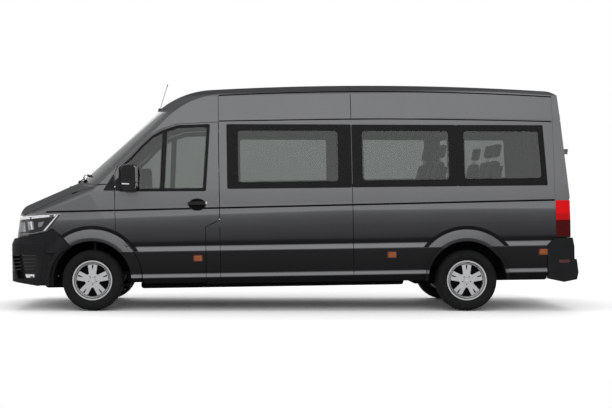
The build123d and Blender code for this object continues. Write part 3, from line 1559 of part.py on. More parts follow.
steer_origin = SIDE.from_local_coords((STEER_CENTRE[0], STEER_CENTRE[2], STEER_CENTRE[1]))
steer_axis = slope_dir(STEER_TILT)
column_foot = steer_origin - steer_axis * COLUMN_LONG
wheel_face = Plane(origin=steer_origin, x_dir=(0, 1, 0), z_dir=steer_axis)
rim_plane = Plane(origin=steer_origin, x_dir=(0, 1, 0), z_dir=wheel_face.y_dir * -1)

with BuildPart() as dashboard:
    from_side(
        polygon(
            (FIREWALL_A + FIREWALL_THICK, 960),
            (FIREWALL_A + FIREWALL_THICK, 1440),
            (300, 1462),
            (500, 1440),
            (580, 1370),
            (560, 1230),
            (430, 1180),
            (330, 960),
        ),
        -DASH_HALF,
        DASH_HALF,
        Mode.ADD,
    )
    fillet(dashboard.edges().filter_by(Axis.Y).group_by(Axis.X)[-1], radius=30)
    with BuildSketch(Plane(origin=column_foot, x_dir=(0, 1, 0), z_dir=steer_axis)):
        Circle(36)
    extrude(amount=COLUMN_LONG - STEER_DISH - SEAT_GAP)
    add(CABIN_SPACE, mode=Mode.INTERSECT)

with BuildPart() as steering_wheel:
    with BuildSketch(rim_plane):
        with Locations((STEER_RADIUS - STEER_RIM, 0)):
            Circle(STEER_RIM)
    revolve(axis=Axis(steer_origin, steer_axis))
    with BuildSketch(wheel_face.offset(-STEER_DISH)):
        Circle(60)
    with BuildSketch(wheel_face):
        Circle(70)
    loft()
    with BuildSketch(wheel_face.offset(-24)):
        with PolarLocations(STEER_RADIUS / 2, 3, start_angle=30):
            Rectangle(STEER_RADIUS - 20, 36)
    extrude(amount=20)

CUSHION_THICK = 120
CUSHION_LONG = 460
CUSHION_WIDE = 430
BACK_HIGH = 640
BACK_THICK = 110
BACK_LEAN = 12
HEADREST = (90, 250, 170)
HEADREST_POST_SPACING = 140
HEADREST_POST_RADIUS = 7
# Seats: distance behind the front axle of the cushion's front, centre line, base height.
SEAT_PLACES = (
    (900, -470, 900),
    (900, 205, 900),
    (900, 640, 900),
    (3640, -640, 960),
    (3640, -195, 960),
    (3640, 640, 960),
    (4310, -640, 960),
    (4310, -195, 960),
    (4310, 640, 960),
)


def seat_back_plane(front_a, y, base_z):
    """Plane at the foot of a backrest, its z axis up along the backrest."""
    lean = radians(BACK_LEAN)
    foot = BODY.from_local_coords((front_a + CUSHION_LONG + 10, y, base_z + CUSHION_THICK + 30))
    return Plane(origin=foot, x_dir=(0, 1, 0), z_dir=UP * cos(lean) + ALONG * sin(lean))


with BuildPart() as seat_cushions:
    for front_a, y, base_z in SEAT_PLACES:
        with BuildSketch(BODY.offset(base_z + SEAT_GAP)):
            with Locations((front_a + CUSHION_LONG / 2, y)):
                RectangleRounded(CUSHION_LONG, CUSHION_WIDE, 60)
        extrude(amount=CUSHION_THICK)

with BuildPart() as seat_backs:
    for place in SEAT_PLACES:
        with BuildSketch(seat_back_plane(*place)):
            RectangleRounded(CUSHION_WIDE, BACK_THICK, 40)
        extrude(amount=BACK_HIGH)
        with BuildSketch(seat_back_plane(*place).offset(BACK_HIGH + 40)):
            RectangleRounded(HEADREST[1], HEADREST[0], 40)
        extrude(amount=HEADREST[2])
        with BuildSketch(seat_back_plane(*place).offset(BACK_HIGH - 20)):
            with GridLocations(HEADREST_POST_SPACING, 0, 2, 1):
                Circle(HEADREST_POST_RADIUS)
        extrude(amount=80)

with BuildPart() as seat_frames:
    for place in SEAT_PLACES:
        front_a, y, base_z = place
        half_seat = CUSHION_WIDE / 2
        for edge in (-half_seat + 30, half_seat - 60):
            add(
                box_between(
                    (front_a + 60, y + edge, FLOOR_TOP),
                    (front_a + CUSHION_LONG - 40, y + edge + 30, base_z - 20),
                )
            )
        add(
            box_between(
                (front_a + 10, y - half_seat + 10, base_z - 20),
                (front_a + CUSHION_LONG + 110, y + half_seat - 10, base_z),
            )
        )
        back = seat_back_plane(*place)
        with BuildSketch(back.offset(-160)):
            with Locations((0, -(BACK_THICK / 2 + 12))):
                Rectangle(CUSHION_WIDE - 20, 22)
        extrude(amount=160 + BACK_HIGH - 60)
    for side in (-1, 1):
        with BuildSketch(SIDE.offset(side * REAR_HOUSE_INNER_Y)):
            with Locations((REAR_HUB_A, REAR_HUB_Z)):
                Circle(HOUSE_RADIUS)
        extrude(amount=side * WIDE, mode=Mode.SUBTRACT)

# Right-hand pieces ----------------------------------------------------------------------------------
with BuildPart() as right_front_door:
    add(on_right(left_front_door.part))

with BuildPart() as right_door_window:
    add(on_right(left_door_window.part))

with BuildPart() as right_mirror:
    add(on_right(left_mirror.part))

with BuildPart() as right_rear_door:
    add(on_right(left_rear_door.part))

with BuildPart() as right_rear_window:
    add(on_right(left_rear_window.part))

# Labels and files ---------------------------------------------------------------------------------
PIECES = {
    "floor_pan": floor_pan,
    "left_side_panel": left_side_panel,
    "right_side_panel": right_side_panel,
    "sliding_door": sliding_door,
    "side_windows": side_windows,
    "roof_panel": roof_panel,
    "cab_frame": cab_frame,
    "windscreen": windscreen,
    "front_fenders": front_fenders,
    "front_bumper": front_bumper,
    "bumper_inserts": bumper_inserts,
    "grille": grille,
    "headlamps": headlamps,
    "bonnet": bonnet,
    "rear_bumper": rear_bumper,
    "tail_lamps": tail_lamps,
    "left_front_door": left_front_door,
    "left_door_window": left_door_window,
    "left_mirror": left_mirror,
    "right_front_door": right_front_door,
    "right_door_window": right_door_window,
    "right_mirror": right_mirror,
    "left_rear_door": left_rear_door,
    "left_rear_window": left_rear_window,
    "right_rear_door": right_rear_door,
    "right_rear_window": right_rear_window,
    "dashboard": dashboard,
    "steering_wheel": steering_wheel,
    "seat_frames": seat_frames,
    "seat_cushions": seat_cushions,
    "seat_backs": seat_backs,
    "engine": engine,
    "front_subframe": front_subframe,
    "left_knuckle": left_knuckle,
    "right_knuckle": right_knuckle,
    "rear_axle": rear_axle,
    "fuel_tank": fuel_tank,
    "exhaust": exhaust,
}
for place, x in (("front", FRONT_AXLE_X), ("rear", REAR_AXLE_X)):
    for side_name, side in (("left", -1), ("right", 1)):
        with BuildPart() as wheel_piece:
            add(road_wheel(x, side))
        with BuildPart() as tyre_piece:
            add(road_tyre(x, side))
        PIECES[f"{place}_{side_name}_wheel"] = wheel_piece
        PIECES[f"{place}_{side_name}_tyre"] = tyre_piece

os.makedirs("parts", exist_ok=True)
for name, piece in PIECES.items():
    piece.part.label = name
    export_step(piece.part, f"parts/{name}.step")
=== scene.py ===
"""Minibus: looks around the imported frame. Lengths are metres, nose towards -X, left side -Y."""
import math

import bmesh
import bpy
import numpy as np
from mathutils import Matrix, Vector
from mathutils.bvhtree import BVHTree


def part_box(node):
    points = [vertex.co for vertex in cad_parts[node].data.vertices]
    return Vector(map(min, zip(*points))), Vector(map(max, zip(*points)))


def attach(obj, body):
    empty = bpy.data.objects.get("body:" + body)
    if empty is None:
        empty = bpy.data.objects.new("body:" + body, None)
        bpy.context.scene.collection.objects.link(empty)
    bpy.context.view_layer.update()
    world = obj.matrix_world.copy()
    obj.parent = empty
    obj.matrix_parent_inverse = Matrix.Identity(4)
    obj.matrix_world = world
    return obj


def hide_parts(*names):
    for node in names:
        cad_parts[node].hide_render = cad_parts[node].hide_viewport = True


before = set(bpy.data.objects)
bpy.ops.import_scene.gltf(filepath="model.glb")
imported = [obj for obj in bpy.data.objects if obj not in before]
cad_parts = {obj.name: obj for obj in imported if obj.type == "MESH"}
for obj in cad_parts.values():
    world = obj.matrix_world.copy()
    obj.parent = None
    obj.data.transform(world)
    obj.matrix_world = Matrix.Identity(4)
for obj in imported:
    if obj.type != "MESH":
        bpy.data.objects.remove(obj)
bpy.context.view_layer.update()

# Body planes: the body stands nose-down by RAKE about the ground point below the front axle.
RAKE = math.radians(0.9)
FRONT_AXLE_X = -2.401
REAR_AXLE_X = 2.089
WHEEL_Y = 0.865
TYRE_RADIUS = 0.367
ALONG = Vector((math.cos(RAKE), 0, math.sin(RAKE)))
UP = Vector((-math.sin(RAKE), 0, math.cos(RAKE)))
RIGHT = Vector((0, 1, 0))
BODY = "body"
SIDES = ((-1, "left"), (1, "right"))


def at(a, y, z):
    """World point from millimetres behind the front axle, right of centre and above ground."""
    return Vector((FRONT_AXLE_X, 0, 0)) + (ALONG * a + RIGHT * y + UP * z) / 1000


def door_leaf(side):
    return f"{side}_front_door_leaf"


# Body side: height above ground and half width there; the nose narrows and leans back above its foot.
SIDE_SECTION = (
    (305, 945), (388, 1000), (442, 985), (705, 1004), (760, 990), (800, 1002),
    (1000, 1003), (1440, 972), (2240, 906), (2900, 792),
)
NOSE_A, NOSE_BOW, NOSE_HALF, NOSE_CORNER = -1007, 76, 890, 300
TAPER_A, TAPER_HALF = 260, 1012
NOSE_FOOT_Z = 739
NOSE_LEAN = math.tan(math.radians(8.8))
# Tail: upright below the belt, leaning forwards above it.
TAIL_A, TAIL_FOOT_Z = 5735, 1290
TAIL_LEAN = math.tan(math.radians(4.9))


def lean_back(z):
    """How far the nose stands behind its foot at a height."""
    return max(0.0, z - NOSE_FOOT_Z) * NOSE_LEAN


def side_half(a, z):
    """Half width of the body at a place on the side, in millimetres."""
    heights, halves = zip(*SIDE_SECTION)
    taper = float(np.interp(a - lean_back(z), (NOSE_A + NOSE_BOW, TAPER_A), (NOSE_HALF, TAPER_HALF)))
    return min(float(np.interp(z, heights, halves)), taper)


def tail_at(z):
    return TAIL_A - max(0.0, z - TAIL_FOOT_Z) * TAIL_LEAN


# ---- Materials
def srgb(r, g, b):
    """Linear colour from 0-255 display values."""
    out = []
    for c in (r, g, b):
        c /= 255
        out.append(c / 12.92 if c <= 0.04045 else ((c + 0.055) / 1.055) ** 2.4)
    return (*out, 1)


def grey(level):
    return (level, level, level, 1)


def shade(colour, factor):
    return (colour[0] * factor, colour[1] * factor, colour[2] * factor, 1)


class Nodes:
    """Node tree of a material or world, with short calls for what is used here."""

    def __init__(self, owner):
        owner.use_nodes = True
        self.owner = owner
        self.tree = owner.node_tree
        self.coords = None

    def feed(self, socket, value):
        if isinstance(value, bpy.types.NodeSocket):
            self.tree.links.new(value, socket)
        else:
            socket.default_value = value

    def add(self, kind, inputs=None, **settings):
        """New node with its own settings, and values or sources for its named inputs."""
        node = self.tree.nodes.new(kind)
        for key, value in settings.items():
            setattr(node, key, value)
        for key, value in (inputs or {}).items():
            self.feed(node.inputs[key], value)
        return node

    def place(self):
        if self.coords is None:
            self.coords = self.add("ShaderNodeTexCoord").outputs["Object"]
        return self.coords

    def noise(self, scale, detail=4, rough=0.55, stretch=None):
        source = self.place()
        if stretch:
            mapping = self.add("ShaderNodeMapping", {"Scale": stretch, "Vector": source})
            source = mapping.outputs["Vector"]
        inputs = {"Scale": scale, "Detail": detail, "Roughness": rough, "Vector": source}
        return self.add("ShaderNodeTexNoise", inputs).outputs["Fac"]

    def wave(self, direction, scale, distortion=0.0):
        inputs = {"Scale": scale, "Distortion": distortion, "Vector": self.place()}
        wave = self.add("ShaderNodeTexWave", inputs, wave_type="BANDS", bands_direction=direction)
        return wave.outputs["Fac"]

    def ramp(self, fac, stops):
        node = self.add("ShaderNodeValToRGB", {"Fac": fac})
        elements = node.color_ramp.elements
        while len(elements) < len(stops):
            elements.new(0.5)
        for element, (place, colour) in zip(elements, stops):
            element.position = place
            element.color = colour
        return node.outputs["Color"]

    def mottled(self, noise, colour, edge, dark, light):
        """A colour that turns darker and lighter with a noise."""
        return self.ramp(noise, [(edge, shade(colour, dark)), (1 - edge, shade(colour, light))])

    def map_range(self, value, low, high, to_low, to_high):
        inputs = {"From Min": low, "From Max": high, "To Min": to_low, "To Max": to_high, "Value": value}
        return self.add("ShaderNodeMapRange", inputs).outputs["Result"]

    def uneven(self, noise, middle, less, more):
        """A value that varies below and above its middle with a noise."""
        return self.map_range(noise, 0.3, 0.7, middle - less, middle + more)

    def math(self, operation, a, b=0.0):
        return self.add("ShaderNodeMath", {0: a, 1: b}, operation=operation).outputs[0]

    def hypotenuse(self, u, v):
        squares = self.math("ADD", self.math("MULTIPLY", u, u), self.math("MULTIPLY", v, v))
        return self.math("SQRT", squares)

    def axes(self, vector=None):
        return self.add("ShaderNodeSeparateXYZ", {0: vector or self.place()}).outputs

    def body_axes(self):
        """Distance behind the front axle and height on the body planes, in metres."""
        x, _, z = self.axes()
        x = self.math("SUBTRACT", x, FRONT_AXLE_X)
        (x_run, x_rise), (z_rise, z_run) = (
            [self.math("MULTIPLY", v, part) for part in (math.cos(RAKE), math.sin(RAKE))] for v in (x, z)
        )
        return self.math("ADD", x_run, z_run), self.math("SUBTRACT", z_rise, x_rise)

    def mix(self, factor, a, b, blend="MIX"):
        inputs = {"Factor": factor, "A": a, "B": b}
        return self.add("ShaderNodeMix", inputs, data_type="RGBA", blend_type=blend).outputs["Result"]

    def times(self, a, b):
        return self.mix(1, a, b, "MULTIPLY")

    def bump(self, height, strength, distance):
        inputs = {"Strength": strength, "Distance": distance, "Height": height}
        return self.add("ShaderNodeBump", inputs).outputs["Normal"]

    def mix_shader(self, factor, a, b):
        return self.add("ShaderNodeMixShader", {0: factor, 1: a, 2: b}).outputs[0]

    def set(self, **values):
        """Fill the principled shader's sockets and return the material."""
        shader = self.tree.nodes["Principled BSDF"]
        for key, value in values.items():
            self.feed(shader.inputs[key.replace("_", " ")], value)
        return self.owner

    def surface(self, shader):
        """Put another shader in the principled one's place and return the material."""
        self.feed(self.tree.nodes["Material Output"].inputs["Surface"], shader)
        self.tree.nodes.remove(self.tree.nodes["Principled BSDF"])
        return self.owner


def look(name):
    return Nodes(bpy.data.materials.new(name))


# Height on the body in mm, the paint's tone there and its share of clear coat. The tones are painted light:
# painted highlights on the sill step, the bead and under the belt; painted shade on the sill, the lower
# band and the valley under the bead; painted shade growing downwards on the panels below the belt; painted
# shade on the roof.
BODY_PAINTED_LIGHT_BANDS = (
    (300, 0.15, 0), (384, 0.15, 0), (392, 1.02, 1), (424, 0.96, 1), (434, 0.17, 0), (698, 0.23, 0),
    (708, 1.02, 1), (756, 1.02, 1), (764, 0.17, 0), (812, 0.18, 0), (832, 0.38, 0), (870, 0.46, 0),
    (930, 0.54, 0), (1000, 0.64, 0), (1060, 0.76, 0), (1100, 0.88, 0), (1142, 1.14, 0),
    (1156, 1.26, 0), (1166, 1.2, 1), (1236, 1.12, 1), (1262, 0.92, 1), (1430, 0.97, 1),
    (2560, 0.93, 1), (2600, 0.6, 0), (2790, 0.54, 0),
)
# Distance from the hub in mm, tone and clear coat on the arch flare: painted shade at the lip's edge, a
# painted highlight on the flare band, painted shade in the valley outside it.
FLARE_PAINTED_LIGHT_BANDS = (
    (468, 0.03, 0), (480, 0.5, 0), (506, 0.6, 0), (514, 0.88, 0.6), (606, 0.95, 0.8),
    (616, 0.15, 0), (654, 0.15, 0),
)
# Flare centres, in metres behind the front axle and above ground.
FLARE_HUBS = ((0.006, TYRE_RADIUS), (4.489, 0.2964))
# Metres behind the front axle and how far the belt's lower edge lies under its highest place.
BELT_DROP = (
    (-0.6, 0.072), (-0.286, 0.065), (1.507, 0.026), (2.966, 0.0), (4.5, 0.006), (5.513, 0.016),
)


BELT_SPAN = (-1, 6)
# Drops are held in a colour ramp, this many times larger.
DROP_SCALE = 10
# In metres: where the belt's shift fades in below it and out above it, and the flare's own limits.
BELT_BELOW, BELT_ABOVE = (0.84, 1.0), (1.2, 1.3)
VALLEY_EDGE, FLARE_FOOT = (0.652, 0.66), (0.7, 0.708)
# Upward part of the normal between side and roof, and the tone that darkens faces turned upwards, the roof
# and bonnet, as painted shade.
FACING_UP, UP_FACING_PAINTED_SHADE = (0.3, 0.75), 0.72


def zone_ramp(m, value, low, high, zones):
    """Tone of painted shade and highlights, with gloss in its alpha, along a value in metres; the zones and
    ends are millimetres.
    """
    stops = [((place - low) / (high - low), (f, f, f, gloss)) for place, f, gloss in zones]
    return m.ramp(m.map_range(value, low / 1000, high / 1000, 0, 1), stops)


def body_painted_light(m):
    """Painted shade and highlight bands, with their gloss, on the painted shells by height on the body and
    distance from the hubs.
    """
    a, h = m.body_axes()
    first, last = BELT_SPAN
    stops = [((d - first) / (last - first), grey(drop * DROP_SCALE)) for d, drop in BELT_DROP]
    drop = m.math("MULTIPLY", m.ramp(m.map_range(a, *BELT_SPAN, 0, 1), stops), 1 / DROP_SCALE)
    below, above = m.map_range(h, *BELT_BELOW, 0, 1), m.map_range(h, *BELT_ABOVE, 1, 0)
    near_belt = m.math("MULTIPLY", below, above)
    moved = m.math("ADD", h, m.math("MULTIPLY", drop, near_belt))
    tone = zone_ramp(m, moved, 300, 2800, BODY_PAINTED_LIGHT_BANDS)
    radii = [
        m.hypotenuse(m.math("SUBTRACT", a, hub_a), m.math("SUBTRACT", h, hub_z))
        for hub_a, hub_z in FLARE_HUBS
    ]
    r = m.math("MINIMUM", *radii)
    # Painted highlight on the flare band and painted shade at its lip and valley.
    flare = zone_ramp(m, r, 400, 700, FLARE_PAINTED_LIGHT_BANDS)
    inside, over_foot = m.map_range(r, *VALLEY_EDGE, 1, 0), m.map_range(h, *FLARE_FOOT, 0, 1)
    on_flare = m.math("MULTIPLY", inside, over_foot)
    gloss, flare_gloss = tone.node.outputs["Alpha"], flare.node.outputs["Alpha"]
    more = m.math("MULTIPLY", on_flare, m.math("SUBTRACT", flare_gloss, gloss))
    return m.mix(on_flare, tone, flare), m.math("ADD", gloss, more)


def paint(name, colour, rough, metallic, coat=0.9, flake=0.25, zones=False):
    """Metallic car paint: fine flakes in the colour, faint orange peel, a clear coat; with zones, also
    painted shade and highlight bands and painted shade on faces turned upwards.
    """
    m = look(name)
    light, dark = shade(colour, 1 + flake), shade(colour, 1 - flake)
    base = m.ramp(m.noise(900, 2, 0.7), [(0.3, dark), (0.55, colour), (0.8, light)])
    base = m.times(base, m.ramp(m.noise(1.3, 3), [(0.3, grey(0.94)), (0.7, grey(1))]))
    if zones:
        # Painted light: bands of painted shade and highlight by height and round the arches.
        tone, gloss = body_painted_light(m)
        # Faces turned upwards are darkened here: painted shade.
        facing_up = m.axes(m.add("ShaderNodeNewGeometry").outputs["Normal"])[2]
        level = m.map_range(facing_up, *FACING_UP, 1, 0)
        base = m.times(m.times(base, tone), m.map_range(level, 0, 1, UP_FACING_PAINTED_SHADE, 1))
        coat = m.math("MULTIPLY", m.map_range(gloss, 0, 1, 0, coat), level)
        metallic = m.math("MULTIPLY", m.map_range(gloss, 0, 1, 0.03, metallic), level)
        m.set(Specular_IOR_Level=0.0)
    return m.set(
        Base_Color=base, Coat_Weight=coat, Metallic=metallic, Coat_Roughness=0.12, Coat_IOR=1.45,
        Normal=m.bump(m.noise(140, 1), 0.03, 0.0006), Roughness=m.uneven(m.noise(60, 2), rough, 0.03, 0.04),
    )


def plastic(name, colour, rough, grain=420, depth=0.12, spec=0.16):
    """Moulded plastic with a fine grain and slightly uneven gloss."""
    m = look(name)
    return m.set(
        Base_Color=m.mottled(m.noise(9, 4), colour, 0.3, 0.86, 1.12),
        Roughness=m.uneven(m.noise(35, 3), rough, 0.06, 0.07),
        Normal=m.bump(m.noise(grain, 2), depth, 0.0006), Specular_IOR_Level=spec,
    )


def metal(name, colour, rough, brushed=(1, 1, 1), metallic=1.0):
    """Metal with streaks or cast speckle."""
    m = look(name)
    streak = m.noise(60, 4, 0.6, brushed)
    return m.set(
        Base_Color=m.mottled(streak, colour, 0.25, 0.82, 1.08), Metallic=metallic,
        Roughness=m.uneven(m.noise(25, 3), rough, 0.06, 0.08), Normal=m.bump(streak, 0.06, 0.0004),
    )


def rubber(name, rough):
    m = look(name)
    return m.set(
        Base_Color=m.mottled(m.noise(18, 5), srgb(30, 31, 31), 0.25, 0.75, 1.3),
        Roughness=m.uneven(m.noise(50, 3), rough, 0.08, 0.1),
        Normal=m.bump(m.noise(300, 3), 0.15, 0.0006), Specular_IOR_Level=0.12,
    )


def cloth(name, colour):
    """Woven seat cloth: crossing waves for the weave, mottled colour and sheen."""
    m = look(name)
    thread = 0.0022
    weave = m.math("MULTIPLY", *(m.wave(way, 1 / (thread * 20), 0.6) for way in ("X", "Z")))
    flecks = [(0.35, shade(colour, 0.7)), (0.6, colour), (0.72, shade(colour, 1.7))]
    return m.set(
        Base_Color=m.ramp(m.noise(160, 3, 0.7), flecks), Roughness=0.92,
        Normal=m.bump(weave, 0.35, 0.0008), Sheen_Weight=0.25, Sheen_Roughness=0.5,
    )


def clear(name, tint):
    """Thin glazing seen through without bending: tinted transparency under a glossy coat."""
    m = look(name)
    through = m.add("ShaderNodeBsdfTransparent", {"Color": tint})
    gloss = m.add("ShaderNodeBsdfGlossy", {"Roughness": 0.02, "Color": (0.9, 0.92, 0.92, 1)})
    fresnel = m.add("ShaderNodeFresnel", {"IOR": 1.45})
    return m.surface(m.mix_shader(fresnel.outputs[0], through.outputs[0], gloss.outputs[0]))


def lens(name, colour, rough, ribs=None, emit=0.0, coat=0.35):
    """Coloured lamp lens with moulded ribs under a polished face."""
    m = look(name)
    if emit:
        m.set(Emission_Color=colour, Emission_Strength=emit)
    if ribs:
        m.set(Normal=m.bump(m.wave(*ribs), 0.5, 0.002))
    return m.set(
        Base_Color=m.mottled(m.noise(30, 3), colour, 0.3, 0.75, 1.1), Roughness=rough,
        Coat_Weight=coat, Coat_Roughness=0.05, Specular_IOR_Level=0.2,
    )


TAIL_LAMP_SPAN = (0.80, 1.25)  # heights of the blocks' ramp, in metres


def tail_lens():
    """Red lamp lens: bright block above, darker red below, fine ribs."""
    m = look("tail_lens")
    dark, red, bright = srgb(76, 1, 3), srgb(196, 8, 14), srgb(228, 14, 22)
    blocks = [(0.0, dark), (0.45, dark), (0.47, red), (0.6, red), (0.66, bright), (1.0, bright)]
    tone = m.ramp(m.map_range(m.body_axes()[1], *TAIL_LAMP_SPAN, 0, 1), blocks)
    return m.set(
        Base_Color=tone, Emission_Color=tone, Emission_Strength=0.22, Roughness=0.14,
        Coat_Weight=0.08, Coat_Roughness=0.04, Specular_IOR_Level=0.04,
        Normal=m.bump(m.wave("Z", 30), 0.3, 0.002),
    )


BODY_GREY = srgb(103, 104, 106)
M = {
    "paint": paint("body_paint", BODY_GREY, 0.36, 0.5, zones=True),
    "plain_paint": paint("mirror_paint", BODY_GREY, 0.36, 0.5),
    "trim": plastic("black_trim", srgb(28, 29, 30), 0.5),
    "bumper": plastic("bumper_plastic", srgb(31, 32, 33), 0.5, 500, 0.08, 0.1),
    "gloss": plastic("gloss_black", srgb(12, 12, 13), 0.14, 60, 0.02, 0.4),
    # Near-black for panel joints, and painted shade in grooves, recesses and behind the wheel spokes.
    "shadow": plastic("joint_and_painted_shade_black", srgb(7, 7, 8), 0.8, 200, 0.1, 0.1),
    "rubber": rubber("door_rubber", 0.7),
    "tyre": rubber("tyre_rubber", 0.78),
    "alloy": paint("wheel_silver", srgb(176, 177, 178), 0.3, 0.85, 0.25, 0.08),
    "dark_alloy": metal("wheel_shade", srgb(86, 86, 88), 0.5),
    "chrome": metal("bright_metal", srgb(225, 226, 228), 0.1, (1, 12, 1)),
    "steel": metal("under_steel", srgb(52, 52, 54), 0.6, metallic=0.5),
    "cast": metal("cast_iron", srgb(62, 61, 60), 0.7, metallic=0.5),
    "under": plastic("underbody_black", srgb(16, 16, 17), 0.8, 120, 0.3, 0.08),
    "lining": plastic("cabin_lining", srgb(86, 87, 86), 0.8, 260, 0.25, 0.2),
    "dash": plastic("dash_plastic", srgb(42, 43, 44), 0.62, 500, 0.25, 0.35),
    "cloth": cloth("seat_cloth", srgb(52, 54, 57)),
    "cloth_bolster": cloth("seat_bolster_cloth", srgb(38, 39, 41)),
    "glass": clear("side_glass", (0.565, 0.582, 0.570, 1)),
    "screen": clear("screen_glass", (0.86, 0.88, 0.87, 1)),
    "frit": plastic("glass_border", srgb(25, 26, 26), 0.25, 60, 0.02, 0.08),
    "red": tail_lens(),
    "brake_red": lens("brake_lens", srgb(170, 4, 10), 0.12, ("Y", 40), 0.1, 0.1),
    "dark_red": lens("tail_lens_dark", srgb(84, 6, 8), 0.15, ("Z", 40), 0.05),
    "amber": lens("marker_lens", srgb(168, 84, 6), 0.2, ("Z", 60), 0.1),
    "reflector": metal("lamp_reflector", srgb(120, 122, 125), 0.2),
    "lamp_house": lens("lamp_housing", srgb(58, 59, 62), 0.2),
    "plate": plastic("blank_plate", srgb(206, 207, 205), 0.35, 200, 0.04, 0.4),
    "mirror": metal("mirror_glass", srgb(205, 210, 214), 0.02),
    "lead": plastic("defroster_line", srgb(96, 62, 44), 0.5, 200, 0.05, 0.3),
    "glow": lens("lamp_light_guide", srgb(226, 228, 231), 0.1, None, 0.25),
}

WHEELS = [f"{end}_{side}" for end in ("front", "rear") for _, side in SIDES]
PAINTED = (
    "left_side_panel", "right_side_panel", "sliding_door", "roof_panel", "cab_frame",
    "left_front_door", "right_front_door", "left_rear_door", "right_rear_door", "front_fenders",
    "bonnet",
)
NODE_LOOKS = {
    "paint": PAINTED,
    "glass": (
        "side_windows", "left_door_window", "right_door_window", "left_rear_window",
        "right_rear_window",
    ),
    "screen": ("windscreen",),
    "bumper": ("front_bumper", "rear_bumper"),
    "trim": ("bumper_inserts", "left_mirror", "right_mirror"),
    "gloss": ("grille",),
    "lamp_house": ("headlamps",),
    "red": ("tail_lamps",),
    "dash": ("dashboard", "steering_wheel"),
    "cloth": ("seat_cushions", "seat_backs"),
    "under": ("floor_pan", "seat_frames", "fuel_tank"),
    "cast": ("engine",),
    "steel": ("front_subframe", "left_knuckle", "right_knuckle", "rear_axle", "exhaust"),
    "alloy": [f"{wheel}_wheel" for wheel in WHEELS],
    "tyre": [f"{wheel}_tyre" for wheel in WHEELS],
}
for key, names in NODE_LOOKS.items():
    for name in names:
        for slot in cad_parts[name].material_slots:
            slot.material = M[key]

# ---- Mesh helpers
COLLECTION = bpy.context.scene.collection
MERGE_DISTANCE = 1e-6
BEVEL_ANGLE, SHARP_ANGLE = math.radians(30), math.radians(35)


def add_object(name, data):
    obj = bpy.data.objects.new(name, data)
    COLLECTION.objects.link(obj)
    return obj


def evaluated_mesh(obj):
    depsgraph = bpy.context.evaluated_depsgraph_get()
    return bpy.data.meshes.new_from_object(obj.evaluated_get(depsgraph))


def solid(name, verts, faces, finish, body=BODY, bevel=0.0):
    """Object from vertices and faces that rides on a body."""
    mesh = bpy.data.meshes.new(name)
    mesh.from_pydata([tuple(v) for v in verts], [], faces)
    bm = bmesh.new()
    bm.from_mesh(mesh)
    bmesh.ops.remove_doubles(bm, verts=bm.verts, dist=MERGE_DISTANCE)
    bmesh.ops.recalc_face_normals(bm, faces=bm.faces)
    bm.to_mesh(mesh)
    bm.free()
    obj = add_object(name, mesh)
    mesh.materials.append(M[finish])
    if bevel:
        mod = obj.modifiers.new("bevel", "BEVEL")
        mod.width = bevel
        mod.segments = 2
        mod.limit_method = "ANGLE"
        mod.angle_limit = BEVEL_ANGLE
    for poly in mesh.polygons:
        poly.use_smooth = True
    mesh.set_sharp_from_angle(angle=SHARP_ANGLE)
    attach(obj, body)
    return obj


def swept(name, rows, finish, body=BODY, bevel=0.0, closed=False):
    """Closed skin through rows of as many points, capped at its ends or joined end to end."""
    count, last = len(rows[0]), len(rows) - 1
    faces = []
    for i in range(len(rows) if closed else last):
        j = (i + 1) % len(rows)
        for k in range(count):
            m = (k + 1) % count
            faces.append((i * count + k, i * count + m, j * count + m, j * count + k))
    if not closed:
        faces += [tuple(range(count)), tuple(reversed(range(last * count, (last + 1) * count)))]
    return solid(name, [p for row in rows for p in row], faces, finish, body, bevel)


def prism(name, outline, low, high, finish, body=BODY, bevel=0.0):
    """Closed outline carried from one place to another: low and high map a 2-D point to 3-D."""
    return swept(name, [[low(*p) for p in outline], [high(*p) for p in outline]], finish, body, bevel)


def block(name, low, high, finish, bevel):
    """Bevelled box in body terms, (a, y, z) in millimetres."""
    outline = [(low[0], low[2]), (high[0], low[2]), (high[0], high[2]), (low[0], high[2])]
    ends = (lambda a, z, y=y: at(a, y, z) for y in (low[1], high[1]))
    return prism(name, outline, *ends, finish, BODY, bevel)


def tube(name, points, radius, finish, body=BODY, steps=12):
    """Round bar along a smooth run of world points, as a mesh."""
    curve = bpy.data.curves.new(name, "CURVE")
    curve.dimensions = "3D"
    spline = curve.splines.new("NURBS")
    spline.points.add(len(points) - 1)
    for point, co in zip(spline.points, points):
        point.co = (*co, 1)
    spline.order_u = 3
    spline.use_endpoint_u = True
    spline.resolution_u = steps
    curve.bevel_depth = radius
    curve.bevel_resolution = 4
    curve.use_fill_caps = True
    carrier = add_object(name, curve)
    mesh = evaluated_mesh(carrier)
    bpy.data.objects.remove(carrier)
    bpy.data.curves.remove(curve)
    mesh.name = name
    mesh.materials.clear()
    mesh.materials.append(M[finish])
    for poly in mesh.polygons:
        poly.use_smooth = True
        poly.material_index = 0
    obj = add_object(name, mesh)
    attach(obj, body)
    return obj


def lathe(name, profile, centre, axis, finish, body, steps):
    """Profile of (radius, along the axis) turned about an axis through a centre, in metres."""
    axis = Vector(axis).normalized()
    u = axis.orthogonal().normalized()
    v = axis.cross(u)
    rows = []
    for t in turn(steps):
        ray = u * math.cos(t) + v * math.sin(t)
        rows.append([Vector(centre) + ray * r + axis * h for r, h in profile])
    return swept(name, rows, finish, body, closed=True)


def ring(name, outer, inner, low, high, finish, body=BODY, bevel=0.0):
    """Frame between two outlines with as many points, from one place to another."""
    n = len(outer)
    verts = [place(*p) for place in (low, high) for outline in (outer, inner) for p in outline]
    faces = []
    for i in range(n):
        j = (i + 1) % n
        faces += [
            (i, j, n + j, n + i), (2 * n + i, 3 * n + i, 3 * n + j, 2 * n + j),
            (i, 2 * n + i, 2 * n + j, j), (n + i, n + j, 3 * n + j, 3 * n + i),
        ]
    return solid(name, verts, faces, finish, body, bevel)


